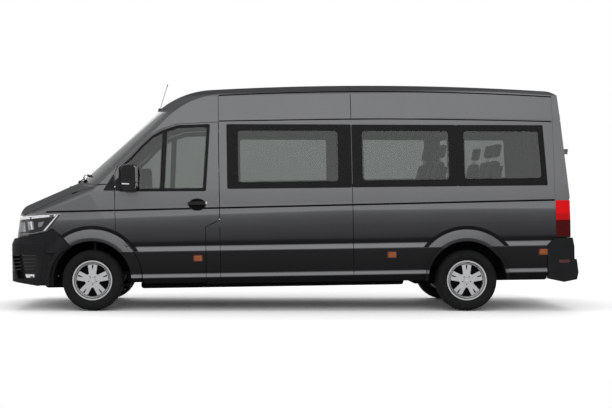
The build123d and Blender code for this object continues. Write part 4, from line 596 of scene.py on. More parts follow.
def filled(loops, cell=None):
    """Points, triangles and border edges of the area between loops, cut finer where cell is given."""
    bm = bmesh.new()
    edges = []
    for loop in loops:
        verts = [bm.verts.new((u, v, 0)) for u, v in loop]
        edges += [bm.edges.new((verts[i - 1], verts[i])) for i in range(len(verts))]
    bmesh.ops.triangle_fill(bm, use_beauty=True, use_dissolve=False, edges=edges)
    for _ in range(4 if cell else 0):
        long_edges = [e for e in bm.edges if e.calc_length() > cell * 2]
        if not long_edges:
            break
        bmesh.ops.subdivide_edges(bm, edges=long_edges, cuts=1)
        bmesh.ops.triangulate(bm, faces=bm.faces)
    bm.verts.index_update()
    flat = [tuple(v.co.xy) for v in bm.verts]
    triangles = [tuple(v.index for v in f.verts) for f in bm.faces]
    borders = [tuple(v.index for v in e.verts) for e in bm.edges if len(e.link_faces) == 1]
    bm.free()
    return flat, triangles, borders


def plate(name, loops, low, high, finish, body=BODY, cell=None):
    """Plate inside an outline, with any further loops as holes, between two maps from 2-D to 3-D."""
    flat, triangles, borders = filled(loops, cell)
    count = len(flat)
    verts = [low(*p) for p in flat] + [high(*p) for p in flat]
    faces = triangles + [tuple(count + i for i in reversed(t)) for t in triangles]
    faces += [(a, b, count + b, count + a) for a, b in borders]
    return solid(name, verts, faces, finish, body)


def patch(name, outline, face, finish, out, deep, cells, body=BODY):
    """Patch of skin laid on a face, from out to deep under it, cut fine enough to follow it."""
    spans = [max(values) - min(values) for values in zip(*outline)]
    rim = densify(outline, max(spans) / cells)
    return plate(name, [rim], *levels(face, out, -deep), finish, body, spans[0] / cells)


def densify(outline, step):
    """Outline with points added so that it can follow a curved surface."""
    out = []
    for i in range(len(outline)):
        p, q = Vector(outline[i]), Vector(outline[(i + 1) % len(outline)])
        n = max(1, int((q - p).length / step))
        out += [tuple(p.lerp(q, k / n)) for k in range(n)]
    return out


def rounded(points, radius, steps=5):
    """Polygon with its corners rounded, as points."""
    out = []
    for i in range(len(points)):
        p = Vector(points[i])
        a, b = Vector(points[i - 1]) - p, Vector(points[(i + 1) % len(points)]) - p
        cut = min(radius / math.tan(a.angle(b) / 2), a.length * 0.48, b.length * 0.48)
        start, end = p + a.normalized() * cut, p + b.normalized() * cut
        for k in range(steps + 1):
            t = k / steps
            out.append(tuple(start * (1 - t) ** 2 + p * 2 * t * (1 - t) + end * t**2))
    return out


def oblong(u0, u1, v0, v1, corner, steps=6):
    return rounded([(u0, v0), (u1, v0), (u1, v1), (u0, v1)], corner, steps)


def spaced(start, end, steps):
    return [start + (end - start) * i / steps for i in range(steps + 1)]


def turn(steps):
    """Angles evenly round a full turn."""
    return spaced(0, 2 * math.pi, steps)[:-1]


def circle(u, v, radius, steps=28, squash=1.0):
    return [(u + radius * math.cos(t), v + radius * squash * math.sin(t)) for t in turn(steps)]


def grown(outline, amount):
    """Outline moved outwards (or inwards for a negative amount), point by point."""
    after = outline[1:] + outline[:1]
    area = sum(p[0] * q[1] - q[0] * p[1] for p, q in zip(outline, after))
    sign = 1 if area > 0 else -1
    out = []
    for i, (x, y) in enumerate(outline):
        p = Vector((x, y))
        normals = []
        for edge in (p - Vector(outline[i - 1]), Vector(after[i]) - p):
            is_edge = edge.length > 1e-9
            normals.append(Vector((edge.y, -edge.x)).normalized() if is_edge else Vector((0, 0)))
        n = normals[0] + normals[1]
        if n.length < 1e-9:
            out.append(tuple(p))
            continue
        n.normalize()
        scale = 1 / max(0.5, n.dot(normals[0]) if normals[0].length else 1)
        out.append(tuple(p + n * sign * amount * scale))
    return out


# ---- Faces: each maps a 2-D place and a distance off the surface, in millimetres, to a world point
# Rays that look for a skin: where they start, in mm, and how far they reach, in metres.
SIDE_RAY, REAR_RAY, FRONT_RAY, TOP_RAY = (1500, 0.8), (6400, 1.6), (-1600, 3.5), (3200, 3.5)
MIRROR_RAY = (1000, 1.2)
NOSE_RAY_OFF, NOSE_REACH = 0.3, 0.9  # both in metres, off the nose's own form
TREES = {}


def levels(face, *outs):
    """Maps from a 2-D place to world points at some distances off a face."""
    return [lambda u, v, out=out: face(u, v, out) for out in outs]


def off_side(hand, a, z, out):
    """Point at a distance outside the body side."""
    return at(a, hand * (side_half(a, z) + out), z)


def flank(hand, *outs):
    """Maps from (a, z) to world points at some distances outside the body side."""
    return levels(lambda a, z, out: off_side(hand, a, z, out), *outs)


def skin_hit(nodes, origin, direction, reach):
    """First place where a ray meets any of the named CAD nodes, its normal and the distance."""
    best = None
    for node in nodes:
        if node not in TREES:
            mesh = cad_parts[node].data
            corners = [v.co for v in mesh.vertices]
            TREES[node] = BVHTree.FromPolygons(corners, [p.vertices for p in mesh.polygons])
        spot, normal, _, far = TREES[node].ray_cast(origin, direction, reach)
        if spot is not None and (best is None or far < best[2]):
            best = (spot, normal, far)
    return best


def met(nodes, origin, direction, reach, fallback, out):
    """Point off the first CAD skin that a ray meets, or off a fallback place, against the ray."""
    hit = skin_hit(nodes, origin, direction, reach)
    return (hit[0] if hit else fallback) - direction * out / 1000


def side_face(hand, nodes, fallback_half):
    """Face met from the side."""
    def face(a, z, out):
        start, spare = (at(a, hand * half, z) for half in (SIDE_RAY[0], fallback_half))
        return met(nodes, start, -RIGHT * hand, SIDE_RAY[1], spare, out)

    return face


def rear_face(nodes):
    """Face met from behind."""
    def face(y, z, out):
        return met(nodes, at(REAR_RAY[0], y, z), -ALONG, REAR_RAY[1], at(tail_at(z), y, z), out)

    return face


# ---- Nose form: the plan curve with its rounded corners, leaning back above the bumper
NOSE_ARC_STEPS, CORNER_ARC_STEPS = 8, 12
NOSE_PLAN_END_A = 6000


def nose_plan():
    """Points (a, y) on the right-hand half of the nose in plan, from the centre to the door."""
    big = (NOSE_HALF**2 + NOSE_BOW**2) / (2 * NOSE_BOW)
    centre = Vector((NOSE_A + big, 0))
    first, last = Vector((NOSE_A + NOSE_BOW, NOSE_HALF)), Vector((TAPER_A, TAPER_HALF))
    d = (last - first).normalized()
    inward = Vector((d.y, -d.x)) * NOSE_CORNER
    base = first + inward - centre
    half_b, c = base.dot(d), base.dot(base) - (big - NOSE_CORNER) ** 2
    hub = first + d * (-half_b - math.sqrt(half_b**2 - c)) + inward
    on_arc = centre + (hub - centre).normalized() * big
    points = []
    end_angle = math.atan2(on_arc.y, centre.x - on_arc.x)
    for u in spaced(0.0, end_angle, NOSE_ARC_STEPS):
        points.append((centre.x - big * math.cos(u), big * math.sin(u)))
    start = math.atan2(on_arc.y - hub.y, on_arc.x - hub.x)
    tangent = hub - inward
    end = math.atan2(tangent.y - hub.y, tangent.x - hub.x)
    for u in spaced(start, end, CORNER_ARC_STEPS)[1:]:
        points.append((hub.x + NOSE_CORNER * math.cos(u), hub.y + NOSE_CORNER * math.sin(u)))
    return points + [(TAPER_A, TAPER_HALF), (NOSE_PLAN_END_A, TAPER_HALF)]


NOSE_PLAN = nose_plan()
NOSE_RUN = [0.0]
for p, q in zip(NOSE_PLAN, NOSE_PLAN[1:]):
    NOSE_RUN.append(NOSE_RUN[-1] + math.dist(p, q))


def nose_frame(run):
    """Plan point and outward direction at a run along the nose from its middle."""
    run = min(max(run, 0.0), NOSE_RUN[-1] - 1)
    k = max(i for i, r in enumerate(NOSE_RUN) if r <= run)
    p, q = Vector(NOSE_PLAN[k]), Vector(NOSE_PLAN[k + 1])
    t = (run - NOSE_RUN[k]) / (NOSE_RUN[k + 1] - NOSE_RUN[k])
    d = (q - p).normalized()
    return p.lerp(q, t), Vector((-d.y, d.x))


def nose_run(a, z, lean=True):
    """Run along the nose where its side view is at a and z."""
    return float(np.interp(a - (lean_back(z) if lean else 0.0), [p[0] for p in NOSE_PLAN], NOSE_RUN))


def nose_face(hand, nodes, lean=True):
    """Face that maps (run along the nose, height) to a point off the CAD skin."""
    def face(run, z, out):
        spot, away = nose_frame(abs(run))
        side = hand if run >= 0 else -hand
        spot = spot + Vector((lean_back(z) if lean else 0.0, 0))
        normal = ALONG * away.x + RIGHT * away.y * side
        base = at(spot.x, side * spot.y, z)
        return met(nodes, base + normal * NOSE_RAY_OFF, -normal, NOSE_REACH, base, out)

    return face


# ---- Windows: borders, seals and the bars between the panes
PANE_START_A = 1645
PANE_SILL_Z, PANE_SILL_FALL = 1443, 0.005
PANE_TOP_Z, PANE_TOP_FALL = 2213, 0.0185
LIGHT_SILL_Z = PANE_SILL_Z + 74
LIGHT_TOP_GAP = 78
# Name, the pane's ends, its clear light's ends and how far its rear edge leans, in mm.
SIDE_PANES = (
    ("front", 1645, 3128, 1779, 2968, 0),
    ("middle", 3152, 4392, 3271, 4298, 0),
    ("rear", 4408, 5476, 4491, 5404, 38),
)
PANE_JOINTS = ((3126, 3137), (3143, 3154), (4390, 4410))
DOOR_PANE = [
    (350, 1435), (1376, 1425), (1434, 2214), (1056, 2206), (872, 2150),
    (750, 2084), (628, 1974), (504, 1841), (350, 1706),
]
QUARTER_LIGHT = [
    (395, 1455), (835, 1455), (873, 2126), (754, 2060), (636, 1954), (510, 1822), (395, 1722),
]
MAIN_LIGHT = [(885, 1455), (1352, 1449), (1406, 2186), (1060, 2178), (926, 2140)]
QUARTER_BAR = [(846, 1452), (874, 1452), (914, 2136), (886, 2136)]
QUARTER_BAR_FACE = [(854, 1455), (864, 1455), (904, 2133), (894, 2133)]


def sill_z(a):
    return PANE_SILL_Z - PANE_SILL_FALL * (a - PANE_START_A)


def top_z(a):
    return PANE_TOP_Z - PANE_TOP_FALL * (a - PANE_START_A)


def pane_outline(front, rear, lean, margin):
    corners = [
        (front + margin, sill_z(front) + margin), (rear - margin, sill_z(rear) + margin),
        (rear - lean - margin, top_z(rear) - margin), (front + margin, top_z(front) - margin),
    ]
    return rounded(corners, 12, 8)


def light_outline(front, rear, lean, margin, radius):
    low = LIGHT_SILL_Z + margin
    corners = [
        (front + margin, low), (rear - margin, low),
        (rear - lean * 0.8 - margin, top_z(rear) - LIGHT_TOP_GAP - margin),
        (front + margin, top_z(front) - LIGHT_TOP_GAP - margin),
    ]
    return rounded(corners, radius, 8)


for hand, side in SIDES:
    for name, front, rear, light_front, light_rear, lean in SIDE_PANES:
        outer = pane_outline(front, rear, lean, 1.5)
        inner = light_outline(light_front, light_rear, lean, -4, 45)
        lip = light_outline(light_front, light_rear, lean, 10, 36)
        ring(f"{side}_{name}_pane_border", outer, inner, *flank(hand, -0.6, 0.5), "frit")
        ring(f"{side}_{name}_light_seal", inner, lip, *flank(hand, -9, -24), "rubber")

for hand, side in SIDES:
    leaf = door_leaf(side)
    for k, (a0, a1) in enumerate(PANE_JOINTS):
        low, high = sill_z(a0) + 1, top_z(a0) - 2
        joint = [(a0, low), (a1, low), (a1, high), (a0, high)]
        plate(f"{side}_pane_joint_{k}", [joint], *flank(hand, -4, 0.4), "frit")
    pane = grown(rounded(DOOR_PANE, 13, 3), -1.5)
    quarter, main = rounded(QUARTER_LIGHT, 12, 4), rounded(MAIN_LIGHT, 26, 4)
    border = [pane, quarter, main]
    plate(f"{side}_door_pane_border", border, *flank(hand, -0.5, 0.6), "frit", leaf)
    for name, hole in (("quarter", quarter), ("main", main)):
        ring(f"{side}_door_{name}_seal", hole, grown(hole, -9), *flank(hand, -8, -26), "rubber", leaf)
    plate(f"{side}_quarter_bar", [QUARTER_BAR], *flank(hand, 0.4, 3), "rubber", leaf)
    plate(f"{side}_quarter_bar_face", [QUARTER_BAR_FACE], *flank(hand, 2, 3.6), "trim", leaf)
    outer, inner = grown(pane, 11), grown(pane, 0.5)
    ring(f"{side}_door_window_seal", outer, inner, *flank(hand, -1, 2.2), "rubber", leaf, 0.0008)
    for name, front, rear, _, _, lean in SIDE_PANES:
        slim = pane_outline(front, rear, lean, 0.5)
        outer, inner = grown(slim, 6 if name == "front" else 4), grown(slim, -1)
        ring(f"{side}_{name}_pane_seal", outer, inner, *flank(hand, -1, 1.2), "rubber", bevel=0.0006)

# ---- Belt line strip (the rail, with painted shade along the crease), seams, and painted shade strips in the roof gutter, the drip groove and along the sill
BELT_START, BELT_END, BELT_HALF = (-330, 1197), (5835, 1247), 10.5
SEAM_HALF = 3
REAR_START_A, REAR_END_A = 1552, 5560
ROOF_RADIUS, ROOF_CROWN_A, GUTTER_Z = 35500, 2840, 2590
DRIP_Z, DRIP_TALL, DRIP_FALL, DRIP_BEND_A, DRIP_RUN = 2250, 14, 67, 2966, 2511
SILL_LINE_Z = (445, 449)


def side_strip(name, run, hand, proud, deep, body=BODY):
    """Dark strip along the body side, painted shade in a groove or crease (the belt's also stands for its
    rail): run holds (a, low z, high z); proud and deep in mm.
    """
    rows = []
    for a, low, high in run:
        edge = proud * 0.6
        section = ((low, -deep), (low, edge), ((low + high) / 2, proud), (high, edge), (high, -deep))
        rows.append([off_side(hand, a, z, out) for z, out in section])
    swept(name, rows, "shadow", body)


def seam(name, hand, a, low, high):
    """Thin dark upright joint line on the body side."""
    section = ((-SEAM_HALF, -3), (-SEAM_HALF, 0.7), (SEAM_HALF, 0.7), (SEAM_HALF, -3))
    heights = spaced(low, high, max(2, int((high - low) / 30)))
    swept(name, [[off_side(hand, a + da, z, out) for da, out in section] for z in heights], "shadow")


def belt_z(a):
    share = (a - BELT_START[0]) / (BELT_END[0] - BELT_START[0])
    return BELT_START[1] + share * (BELT_END[1] - BELT_START[1])


for hand, side in SIDES:
    leaf = door_leaf(side)
    for name, a0, a1, body in (
        ("fender", -540, 286, BODY), ("door", 294, 1541, leaf), ("front", 1549, 3136, BODY),
        ("rear", 3144, 5556, BODY),
    ):
        places = spaced(a0, a1, max(2, int((a1 - a0) / 60)))
        run = [(a, belt_z(a) - BELT_HALF, belt_z(a) + BELT_HALF) for a in places]
        # Belt strip: the rail, and painted shade along the crease.
        side_strip(f"{side}_belt_rail_and_shade_{name}", run, hand, 1.4, 8, body)
    seam(f"{side}_pillar_seam", hand, 1545, 392, 984)
    if side == "left":
        seam("left_panel_seam_low", hand, 3140, 392, 1470)
        seam("left_panel_seam_high", hand, 3140, 2266, 2560)
    # Roof gutter strip: painted shade in the groove.
    gutter = []
    for a in spaced(REAR_START_A, REAR_END_A, 59):
        z = GUTTER_Z - (ROOF_RADIUS - math.sqrt(ROOF_RADIUS**2 - (a - ROOF_CROWN_A) ** 2))
        gutter.append((a, z - 5, z + 9))
    side_strip(f"{side}_roof_gutter", gutter, hand, 1.5, 5)
    # Drip line strip: painted shade in the drip groove.
    drip = []
    for a in range(REAR_START_A, REAR_END_A, 100):
        z = DRIP_Z - DRIP_FALL * max(0, (a - DRIP_BEND_A) / DRIP_RUN) ** 1.6
        drip.append((a, z, z + DRIP_TALL))
    side_strip(f"{side}_drip_line", drip, hand, 0.6, 8)
    # Sill line strip: painted shade along the step's edge.
    for name, a0, a1, body in (("middle", 700, 1370, leaf), ("fill", 1380, 1540, BODY)):
        run = [(a, *SILL_LINE_Z) for a in spaced(a0, a1, 6)]
        side_strip(f"{side}_sill_line_{name}", run, hand, 0.8, 4, body)

# ---- Side markers
for hand, side in SIDES:
    markers = ((1277, 614, door_leaf(side)), (3598, 620, BODY), (5405, 627, BODY))
    for k, (a, z, body) in enumerate(markers):
        shell = oblong(a - 58, a + 58, z - 40, z + 40, 14, 5)
        glass = oblong(a - 42, a + 46, z - 30, z + 32, 9, 5)
        plate(f"{side}_marker_{k}_shell", [shell], *flank(hand, -2, 5), "dark_red", body)
        plate(f"{side}_marker_{k}_lens", [glass], *flank(hand, 2, 11), "amber", body)


# ---- Door handles
def handle(name, hand, a, z, lock_a, body):
    """Pull handle over a round cup, black as painted shade in the recess, with its lock barrel."""
    # The cup is black: painted shade in the recess.
    plate(f"{name}_cup", [circle(a, z, 100, 36, 0.7)], *flank(hand, -2, 0.9), "shadow", body)
    rim = circle(a, z, 105, 36, 0.71), circle(a, z, 96, 36, 0.69)
    ring(f"{name}_cup_rim", *rim, *flank(hand, 0.5, 2.2), "trim", body)
    grip = rounded([(a - 118, z - 4), (a + 98, z - 4), (a + 98, z + 38), (a - 110, z + 33)], 15)
    prism(f"{name}_grip", grip, *flank(hand, 12, 34), "trim", body, 0.006)
    for k, (a0, a1) in enumerate(((a - 103, a - 78), (a + 66, a + 90))):
        foot = oblong(a0, a1, z + 3, z + 30, 8, 4)
        prism(f"{name}_foot_{k}", foot, *flank(hand, -1, 15), "trim", body, 0.002)
    lock = oblong(lock_a - 10, lock_a + 12, z + 2, z + 34, 8, 4)
    prism(f"{name}_lock", lock, *flank(hand, -1, 10), "alloy", body, 0.003)


for hand, side in SIDES:
    handle(f"{side}_door_handle", hand, 1278, 1256, 1278 + 108, door_leaf(side))
handle("slide_door_handle", 1, 1705, 1268, 1705 - 120, BODY)

# ---- Nose: headlamps, grille, bumper
LAMP_FRONT_RUN = 668
GRILLE_HALF, GRILLE_MID_Z, GRILLE_STEP = 636, 1018, 44
SLAT_Z, SLAT_STEP, SLAT_HALF = 505, 42, 7
# Name, outline in (a, z), look and how far it stands off the lamp, in mm.
LAMP_PATCHES = (
    ("mask", ((-1000, 1092), (-742, 1106), (-440, 1130), (-600, 964), (-700, 930), (-1000, 904)),
     "gloss", 0.6),
    ("bar_front", ((-1000, 1098), (-742, 1114), (-746, 1136), (-1000, 1120)), "glow", 2.0),
    ("bar_rear", ((-726, 1115), (-432, 1142), (-418, 1164), (-722, 1137)), "glow", 2.0),
    ("slant", ((-412, 1156), (-390, 1162), (-552, 974), (-582, 966)), "glow", 2.4),
    ("cup_front", ((-905, 1066), (-812, 1074), (-798, 964), (-892, 952)), "reflector", 1.6),
    ("cup_mid", ((-776, 1080), (-700, 1086), (-690, 986), (-762, 976)), "reflector", 1.6),
    ("cup_slit", ((-740, 1082), (-722, 1084), (-708, 992), (-726, 988)), "glow", 2.8),
    ("cup_edge", ((-640, 1072), (-566, 1080), (-598, 1022), (-640, 1014)), "reflector", 2.0),
    ("trim_low", ((-960, 912), (-700, 938), (-576, 962), (-566, 970), (-700, 946), (-960, 920)),
     "reflector", 2.2),
)
for hand, side in SIDES:
    face = nose_face(hand, ["headlamps"])
    for name, outline, finish, out in LAMP_PATCHES:
        spots = [(max(nose_run(a, z), LAMP_FRONT_RUN), z) for a, z in outline]
        patch(f"{side}_lamp_{name}", spots, face, finish, out, 5, 14)

face = nose_face(1, [])
for k in range(5):
    z = GRILLE_MID_Z + GRILLE_STEP * (2 - k)
    tall = 6 if k in (0, 4) else 4
    corners = ((-1, -1), (1, -1), (1, 1), (-1, 1))
    bar = [(GRILLE_HALF * u, z + tall * v) for u, v in corners]
    patch(f"grille_bar_{k}", bar, face, "chrome" if k in (0, 2) else "trim", -2, 14, 30)
patch("grille_boss", circle(0, GRILLE_MID_Z, 60), face, "gloss", 4, 14, 8)
patch("grille_boss_rim", circle(0, GRILLE_MID_Z, 69), face, "chrome", 1, 14, 8)

BUMPER_NODES = ["front_bumper", "bumper_inserts"]
face = nose_face(1, BUMPER_NODES, False)
patch("front_plate_holder", oblong(-264, 264, 566, 682, 8, 5), face, "trim", 7, 8, 12)
patch("front_blank_plate", oblong(-257, 257, 572, 676, 6, 5), face, "plate", 9, 1, 12)


def bumper_spots(points):
    return [(nose_run(a, z, False), z) for a, z in points]


for hand, side in SIDES:
    face = nose_face(hand, BUMPER_NODES, False)
    crease = [(300, 744), (1240, 738), (1240, 748), (300, 755)]
    patch(f"{side}_bumper_crease", crease, face, "bumper", 2.6, 4, 40)
    fog = rounded(bumper_spots([(-806, 408), (-706, 404), (-698, 446), (-822, 448)]), 8)
    patch(f"{side}_fog_lamp", fog, face, "glow", 3, 8, 8)
    rim = rounded(bumper_spots([(-828, 398), (-694, 394), (-684, 458), (-842, 460)]), 8)
    patch(f"{side}_fog_surround", rim, face, "gloss", 1, 8, 8)
    for k in range(5):
        z, a0, a1 = SLAT_Z + SLAT_STEP * k, -955 + 5 * k, -700 + 10 * k
        low, high = z - SLAT_HALF, z + SLAT_HALF
        slat = bumper_spots([(a0, low), (a1, low), (a1, high), (a0, high)])
        patch(f"{side}_bumper_slat_{k}", slat, face, "gloss", 2.5, 4, 14)

# ---- Screen wipers, antenna, washer jets
FRONT_SKIN = ["windscreen", "cab_frame", "bonnet", "front_fenders", "roof_panel"]
# Left and right end of each blade across the screen, and the two ends' heights.
WIPERS = ((-660, 60, 1590, 1618), (-40, 640, 1606, 1612))
WIPER_BOSS = [(0.001, 0.02), (0.015, 0.018), (0.021, 0.006), (0.022, -0.03), (0.001, -0.03)]
ANTENNA_BASE = [(0.001, 0.034), (0.011, 0.03), (0.02, 0.01), (0.027, -0.02), (0.001, -0.02)]
WASHER_JET = [(0.001, 0.012), (0.01, 0.01), (0.014, -0.006), (0.001, -0.006)]


def on_screen(y, z, out):
    """Point off the windscreen and bonnet, met from ahead."""
    spot, normal, _ = skin_hit(FRONT_SKIN, at(FRONT_RAY[0], y, z), ALONG, FRONT_RAY[1])
    return spot + normal * out / 1000


def from_above(a, y):
    return skin_hit(FRONT_SKIN, at(a, y, TOP_RAY[0]), -UP, TOP_RAY[1])[0]


for k, (y0, y1, z0, z1) in enumerate(WIPERS):
    mid = (y0 + y1) / 2 + 60
    arm = [(y0 + 40, 1552, 12), (y0 + 110, 1572, 34), ((y0 + mid) / 2 + 60, 1600, 36), (mid, z0 + 34, 26)]
    arm = [on_screen(*spot) for spot in arm]
    tube(f"wiper_{k}_arm", arm, 0.0075, "trim")
    shares = (0, 0.25, 0.5, 0.75, 1)
    blade = [on_screen(y0 + 30 + (y1 - y0) * t, z0 + 30 + (z1 - z0) * t, 14) for t in shares]
    tube(f"wiper_{k}_blade", blade, 0.008, "rubber")
    lathe(f"wiper_{k}_boss", WIPER_BOSS, arm[0], UP * 0.7 - ALONG * 0.7, "shadow", BODY, 20)

foot = from_above(778, 0)
lathe("antenna_base", ANTENNA_BASE, foot, UP * 0.93 - ALONG * 0.36, "trim", BODY, 24)
rod = [foot, foot + UP * 0.03 + ALONG * 0.008, at(820, 0, 2610), at(884, 0, 2796)]
tube("antenna_rod", rod, 0.0032, "rubber")
tube("antenna_whip_tip", [at(868, 0, 2752), at(876, 0, 2774), at(884, 0, 2797)], 0.0048, "rubber")
for k, y in enumerate((-330, 330)):
    lathe(f"washer_jet_{k}", WASHER_JET, from_above(-330, y), UP, "trim", "bonnet_leaf", 16)

# ---- Mirrors
MIRROR_Y, MIRROR_HALF, MIRROR_BACK_A = 1112, 1190, 575
MIRROR_SIGNAL = [(392, 1512), (486, 1506), (488, 1519), (394, 1526)]
MIRROR_FOOT = [(300, 1436), (300, 1560), (352, 1610), (372, 1470), (356, 1436)]
PILLAR_FOOT = [(150, 1440), (286, 1438), (286, 1648)]
# Name, heights, half width, corner radius, look, how far out and deep, and cells.
MIRROR_FACES = (
    ("bezel", 1452, 1738, 66, 26, "gloss", 2, 6, 10),
    ("glass", 1536, 1730, 59, 20, "mirror", 4, 2, 10),
    ("wide_glass", 1460, 1524, 59, 16, "mirror", 4, 2, 8),
)
for hand, side in SIDES:
    leaf, nodes, mid = door_leaf(side), [f"{side}_mirror"], hand * MIRROR_Y

    def back(y, z, out):
        return met(nodes, at(MIRROR_RAY[0], y, z), -ALONG, MIRROR_RAY[1], at(MIRROR_BACK_A, y, z), out)

    for name, z0, z1, half, corner, finish, out, deep, cells in MIRROR_FACES:
        outline = oblong(mid - half, mid + half, z0, z1, corner, 5)
        patch(f"{side}_mirror_{name}", outline, back, finish, out, deep, cells, leaf)
    face = side_face(hand, nodes, MIRROR_HALF)
    patch(f"{side}_mirror_signal", MIRROR_SIGNAL, face, "glow", 2.5, 5, 10, leaf)
    plate(f"{side}_mirror_foot", [rounded(MIRROR_FOOT, 14, 3)], *flank(hand, -1, 7), "trim", leaf)
    plate(f"{side}_pillar_foot", [rounded(PILLAR_FOOT, 8, 3)], *flank(hand, -4, 3), "trim")

# ---- Tail
for hand, side in SIDES:
    outline, face = oblong(5590, 5722, 494, 530, 12, 5), side_face(hand, ["rear_bumper"], 1000)
    patch(f"{side}_tail_reflector", outline, face, "dark_red", 3, 6, 10)

HINGE_Y, HINGE_HEIGHTS = 800, (860, 1300, 1826)
# From the world heights of a rear window's box to the heights of its pane on the body.
REAR_PANE_DROP = 128
HEATED_LINES, HEATED_MARGIN = 9, (66, 95)
STEP_RIBS, RIB_START_A, RIB_STEP, RIB_HALF = 5, 5752, 13, 560
for hand, side in SIDES:
    leaf = f"{side}_rear_door_leaf"
    face = rear_face([f"{side}_rear_door", f"{side}_rear_window"])
    low, high = (Vector(c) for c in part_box(f"{side}_rear_window"))
    y0, y1, z0, z1 = (v * 1000 for v in (low.y, high.y, low.z, high.z))
    z0, z1 = z0 - REAR_PANE_DROP, z1 - REAR_PANE_DROP
    outer = oblong(y0 + 3, y1 - 3, z0 + 3, z1 - 3, 40)
    border = [outer, grown(outer, -62)]
    plate(f"{side}_rear_pane_border", border, *levels(face, -0.5, 0.8), "frit", leaf)
    seal = grown(outer, 9), grown(outer, 0.5)
    ring(f"{side}_rear_pane_seal", *seal, *levels(face, -2, 3), "rubber", leaf, 0.001)
    low, high = z0 + HEATED_MARGIN[1], z1 - HEATED_MARGIN[1]
    for k, z in enumerate(spaced(low, high, HEATED_LINES - 1)):
        ends = y0 + HEATED_MARGIN[0], y1 - HEATED_MARGIN[0]
        line = [face(y, z, 0.4) for y in (ends[0], (y0 + y1) / 2, ends[1])]
        tube(f"{side}_defroster_{k}", line, 0.0008, "lead", leaf, 4)
    for k, z in enumerate(HINGE_HEIGHTS):
        edges = sorted((hand * (HINGE_Y + 6), hand * (HINGE_Y - 34)))
        cover = oblong(*edges, z - 46, z + 46, 12)
        patch(f"{side}_hinge_cover_{k}", cover, face, "plain_paint", 4, 5, 8, leaf)

leaf, face = "right_rear_door_leaf", rear_face(["right_rear_door", "left_rear_door", "right_rear_window"])
# The cup is black: painted shade in the recess.
patch("rear_handle_cup", oblong(28, 208, 1088, 1176, 30), face, "shadow", 1, 5, 10, leaf)
prism("rear_handle_grip", oblong(36, 198, 1136, 1166, 12), *levels(face, 10, 30), "trim", leaf, 0.006)
for k, y in enumerate((42, 176)):
    foot = oblong(y, y + 18, 1138, 1164, 6)
    prism(f"rear_handle_foot_{k}", foot, *levels(face, -2, 12), "trim", leaf, 0.002)
leaf, face = "left_rear_door_leaf", rear_face(["left_rear_door"])
patch("rear_plate_holder", oblong(-690, -160, 846, 972, 10), face, "trim", 6, 8, 10, leaf)
patch("rear_blank_plate", oblong(-684, -166, 852, 966, 8), face, "plate", 8, 1, 10, leaf)
patch("rear_plate_light", oblong(-500, -350, 984, 1008, 8), face, "trim", 16, 18, 8, leaf)
face = rear_face(["roof_panel", "left_rear_door", "right_rear_door"])
patch("high_brake_lamp_shell", oblong(-150, 150, 2500, 2546, 12), face, "gloss", 8, 12, 10)
patch("high_brake_lamp", oblong(-140, 140, 2508, 2538, 9), face, "brake_red", 11, 4, 10)
for k in range(STEP_RIBS):
    a = RIB_START_A + k * RIB_STEP
    hit0, hit1 = (skin_hit(["rear_bumper"], at(a, y, 900), -UP, 0.8) for y in (-RIB_HALF, RIB_HALF))
    if hit0 and hit1:
        rib = [hit0[0], (hit0[0] + hit1[0]) / 2, hit1[0]]
        tube(f"step_rib_{k}", rib, 0.003, "rubber", BODY, 6)

# ---- Undertrays: black blocks for the underbody that hangs low between the sills, seen below them; hung low, they also stand for the shade there, partly painted shade
for name, low, high in (
    ("front", (-640, -490, 252), (-392, 490, 344)), ("middle", (560, -640, 236), (3780, 640, 330)),
    ("rear", (3900, -560, 236), (4420, 560, 400)), ("tail", (4560, -560, 262), (5560, 560, 420)),
):
    block(f"{name}_undertray", low, high, "under", 0.03)
for hand, side in SIDES:
    inner, outer = sorted((hand * 640, hand * 955))
    for k, a in enumerate((442, 4040)):
        block(f"{side}_splash_{k}", (a, inner, 300), (a + 12, outer, 420), "under", 0.004)

# ---- Wheels
# Profiles of (radius, place along the axle from the wheel's outer face), in metres.
CAP = [(0.0005, 0.006), (0.016, 0.0055), (0.026, 0.004), (0.031, 0), (0.031, -0.012), (0.0005, -0.012)]
CAP_RIM = [(0.031, 0.0035), (0.0335, 0.005), (0.037, 0.003), (0.037, -0.01), (0.031, -0.01)]
BOLT = [(0.0005, 0.003), (0.0075, 0.003), (0.009, 0.0005), (0.009, -0.01), (0.0005, -0.01)]
RIM_EDGE = [(0.2015, 0.0), (0.2065, 0.0045), (0.2115, 0.0), (0.2115, -0.01), (0.2015, -0.01)]
# Dark ring behind the spokes: painted shade in the wheel's depth.
SPOKE_SHADE_RING = [(0.07, -0.052), (0.196, -0.052), (0.196, -0.058), (0.07, -0.058)]
OUTER_FACE = 0.078
BOLTS, BOLT_CIRCLE = 5, 0.051
VALVE_ANGLE, VALVE_CIRCLE = math.radians(250), 0.188
CALIPER_HALF_ANGLE, CALIPER_RADII = math.radians(32), (0.168, 0.098)
LUGS, LUG_HALF_ANGLE = 72, 0.016
# Radius and distance from the tyre's middle of each corner of a shoulder lug.
LUG_SECTION = ((0.3375, 0.1145), (0.351, 0.1115), (0.349, 0.104), (0.335, 0.107))


def spoke(t):
    """Direction from the hub at an angle in the wheel's plane."""
    return Vector((math.cos(t), 0, math.sin(t)))


def arc(x, radius, t0, t1):
    angles = spaced(t0, t1, 10)
    return [(x + radius * math.cos(t), TYRE_RADIUS + radius * math.sin(t)) for t in angles]


